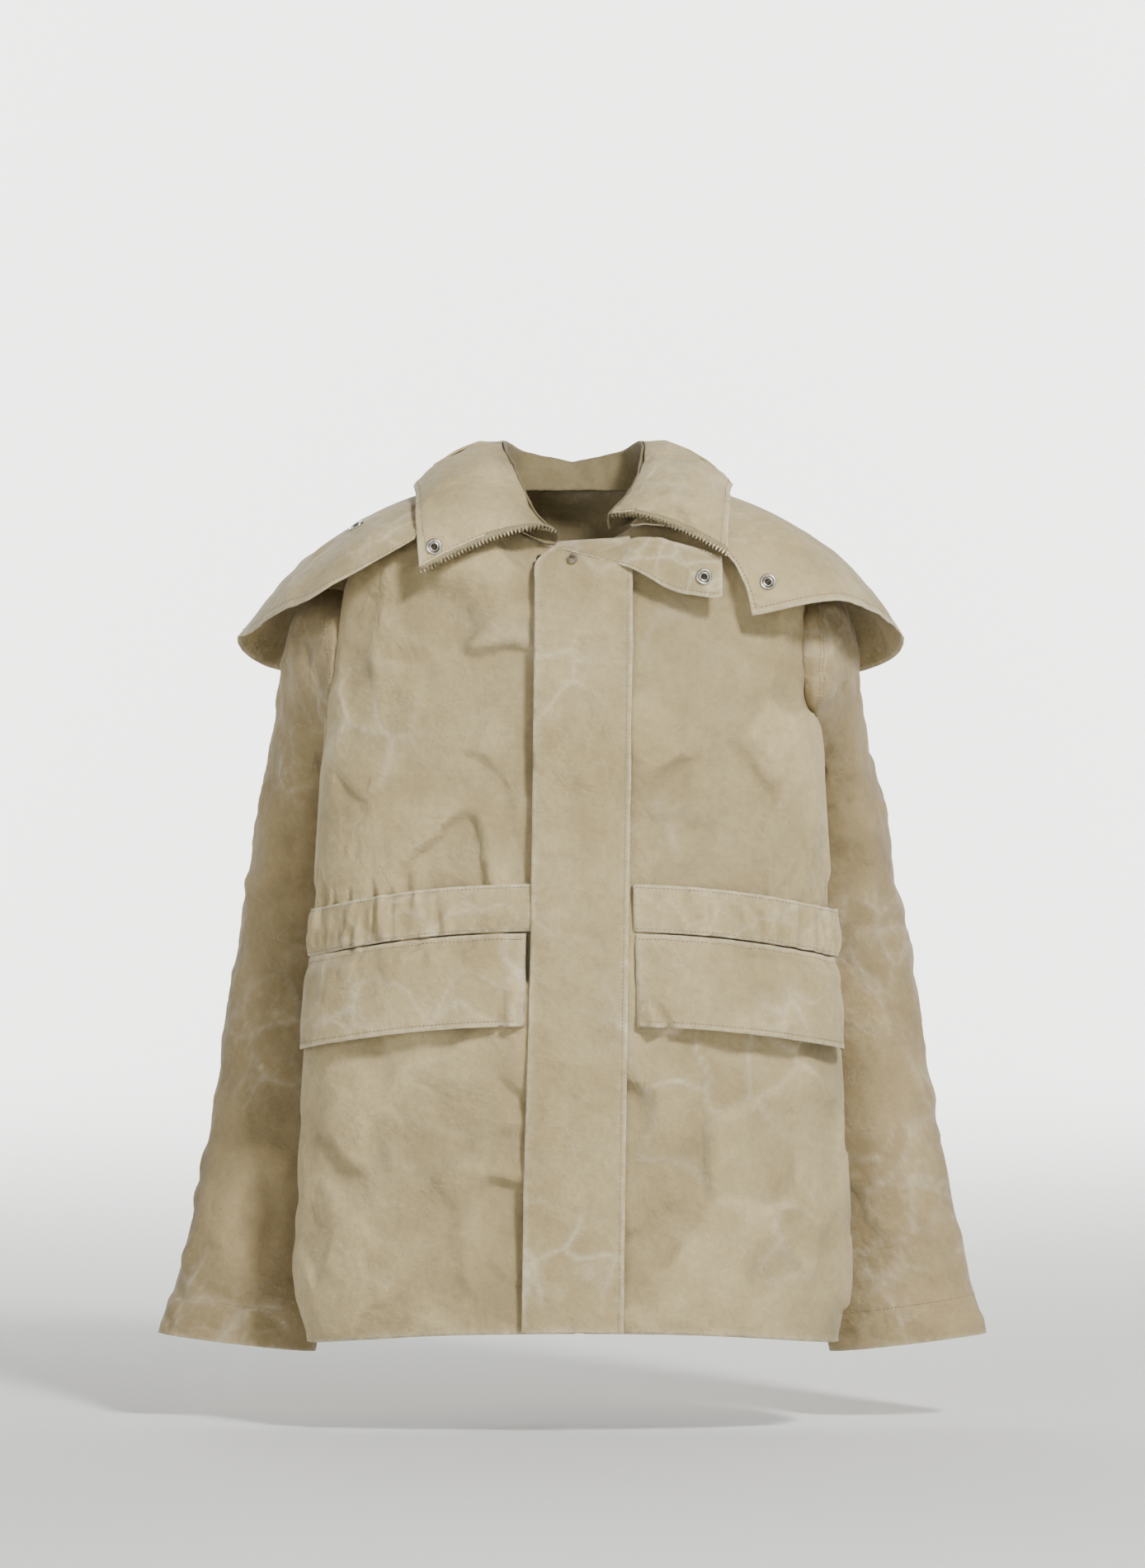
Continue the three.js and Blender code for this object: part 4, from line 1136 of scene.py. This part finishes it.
zipLine = {"top": -66, "foot": -684, "marks": 300, "toothX": 1.9, "toothLift": -0.6, "tapeFrom": 2.2,
           "tapeTo": 15, "tapeLift": -2.2}


def frontZip():
    marks = zipLine["marks"]
    level = np.linspace(zipLine["top"], zipLine["foot"], marks)
    for side, stagger in ((-1, 0.25), (1, 0.75)):
        x = placket["zipX"] + side * zipLine["toothX"]
        path = raised(front, np.full(marks, x), level, np.full(marks, zipLine["toothLift"]), 0.5, 0.5)
        out = np.tile([-side, 0.0, 0.0], (marks, 1))
        row = teeth("frontZipTeeth_" + sideNames[side], path, out, size=(1.5, 2.3, 2.4), stagger=stagger)
        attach(row, root)

        def tapePlace(u, v, side=side):
            at = placket["zipX"] + side * mix(zipLine["tapeFrom"], zipLine["tapeTo"], u)
            level = mix(zipLine["foot"], zipLine["top"], v)
            return raised(front, at, level, zipLine["tapeLift"] - 0.4 * u, 0.5, 0.5)
        tape = clothGrid("frontZipTape_" + sideNames[side], tapePlace, (13, 620), 3.2, thick=0.6, edges="lr",
                         outward=side)
        settle(tape, root, cottonTape, ["zip_rail_" + sideNames[side]])


# snaps: a spun cap with a rolled rim round a dark spring recess
def spun(name, profile, place, normalOut, finish, segments=32):
    # profile: (radius, height) pairs in mm from the rim's foot to the middle
    bm = bmesh.new()
    corners = [bm.verts.new((radius * mm, 0, height * mm)) for radius, height in profile]
    edges = [bm.edges.new(pair) for pair in zip(corners, corners[1:])]
    bmesh.ops.spin(bm, geom=corners + edges, cent=(0, 0, 0), axis=(0, 0, 1), angle=2 * math.pi, steps=segments,
                   use_merge=True)
    bmesh.ops.remove_doubles(bm, verts=bm.verts[:], dist=0.001 * mm)
    bmesh.ops.holes_fill(bm, edges=[edge for edge in bm.edges if edge.is_boundary], sides=0)
    bmesh.ops.recalc_face_normals(bm, faces=bm.faces[:])
    turn = Vector(normalOut).to_track_quat("Z", "Y").to_matrix().to_4x4()
    bmesh.ops.transform(bm, verts=bm.verts[:], matrix=Matrix.Translation(Vector(place) * mm) @ turn)
    piece = linked(name, bm, finish)
    return piece


snapShape = {
    "cap": [(7.0, -0.6), (7.1, 0.5), (6.7, 1.2), (6.0, 1.5), (5.2, 1.3), (4.7, 0.7), (4.2, 0.5), (3.7, 0.9),
            (3.2, 1.0), (2.8, 0.6), (2.5, -0.2), (0, -0.3)],
    "floor": [(4.7, 0.1), (4.6, 0.62), (4.3, 0.66), (2.9, 0.68), (2.6, 0.2), (0, 0.12)],
}


def snap(node, name, place, normalOut, rider):
    cap = spun(name, snapShape["cap"], place, normalOut, nickel)
    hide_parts(node)
    dark = spun(name + "Recess", snapShape["floor"], place, normalOut, recess)
    for piece in (cap, dark):
        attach(piece, rider)


def snaps():
    spots = [
        ("collar_snap", "collarSnap", "collarLeaf_right", 0.12, 0.1, "collar_leaf_right"),
        ("lapel_snap", "lapelSnap", "stormLapel", 0.885, 0.42, root),
        ("cape_snap_left", "capeSnap_left", "capeWing_left", 0.967, 0.16, "cape_wing_left"),
        ("cape_snap_right", "capeSnap_right", "capeWing_right", 0.17, 0.5, "cape_wing_right"),
    ]
    for node, name, clothName, u, v, rider in spots:
        place, normal = onCloth(clothName, np.array([u]), np.array([v]), 0.5)
        snap(node, name, place[0], normal[0], rider)


def carriedOver():
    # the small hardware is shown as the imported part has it, in its real finishes
    finishes = {"zip_slider": brass, "zip_box": brass, "neck_snap_ring": nickel, "neck_snap_stud": recess}
    for number in range(1, 5):
        finishes["storm_stud_%d" % number] = nickel
        finishes["storm_socket_%d" % number] = nickel
    for node, finish in finishes.items():
        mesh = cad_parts[node].data
        mesh.materials.clear()
        mesh.materials.append(finish)


for side in (-1, 1):
    collarZip(side)
frontZip()
snaps()
carriedOver()
print("zips and snaps")


# the remaining rows of stitches
def edgeRows():
    casingRows = {"Top": 0.93, "Bottom": 0.07}
    casingParts = {"": (0.002, 0.2), "Right": (0.74, 0.998), "Back": (0.2, 0.74)}
    for name, v in casingRows.items():
        for part, (start, end) in casingParts.items():
            seam("waistCasingStitch" + part + name, "waistCasing",
                 lambda t, v=v, start=start, end=end: (mix(start, end, t), v), root)
    for side in (-1, 1):
        clothName = "sleeve_" + sideNames[side] + "Cloth"
        for name, v in (("Armhole", 0.90), ("ArmholeOuter", 0.885), ("Cuff", 0.085)):
            seam("sleeve" + name + "_" + sideNames[side], clothName, lambda t, v=v: (t, v), root,
                 sleeveBlend(side))
        wing = "capeWing_" + sideNames[side]
        ends = (0.5, 0.985) if side > 0 else (0.015, 0.5)
        seam(wing + "Hem", wing, lambda t, e=ends: (mix(e[0], e[1], t), 0.035), root, capeBlend(side),
             keep=lambda p, k=side: p[:, 0] * k > capeSplit + 1)
        frontEdge = 0.994 if side > 0 else 0.006
        seam(wing + "Front", wing, lambda t, u=frontEdge: (u, mix(0.04, 0.6, t)), root, capeBlend(side),
             keep=lambda p, k=side: p[:, 0] * k > capeSplit + 1)
        leaf = "collarLeaf_" + sideNames[side]
        seam(leaf + "Edge", leaf, lambda t: (mix(0.04, 0.98, t), 0.055), "collar_leaf_" + sideNames[side])
        seam(leaf + "Front", leaf, lambda t: (0.03, mix(0.03, 0.95, t)), "collar_leaf_" + sideNames[side])


edgeRows()
print("stitches")
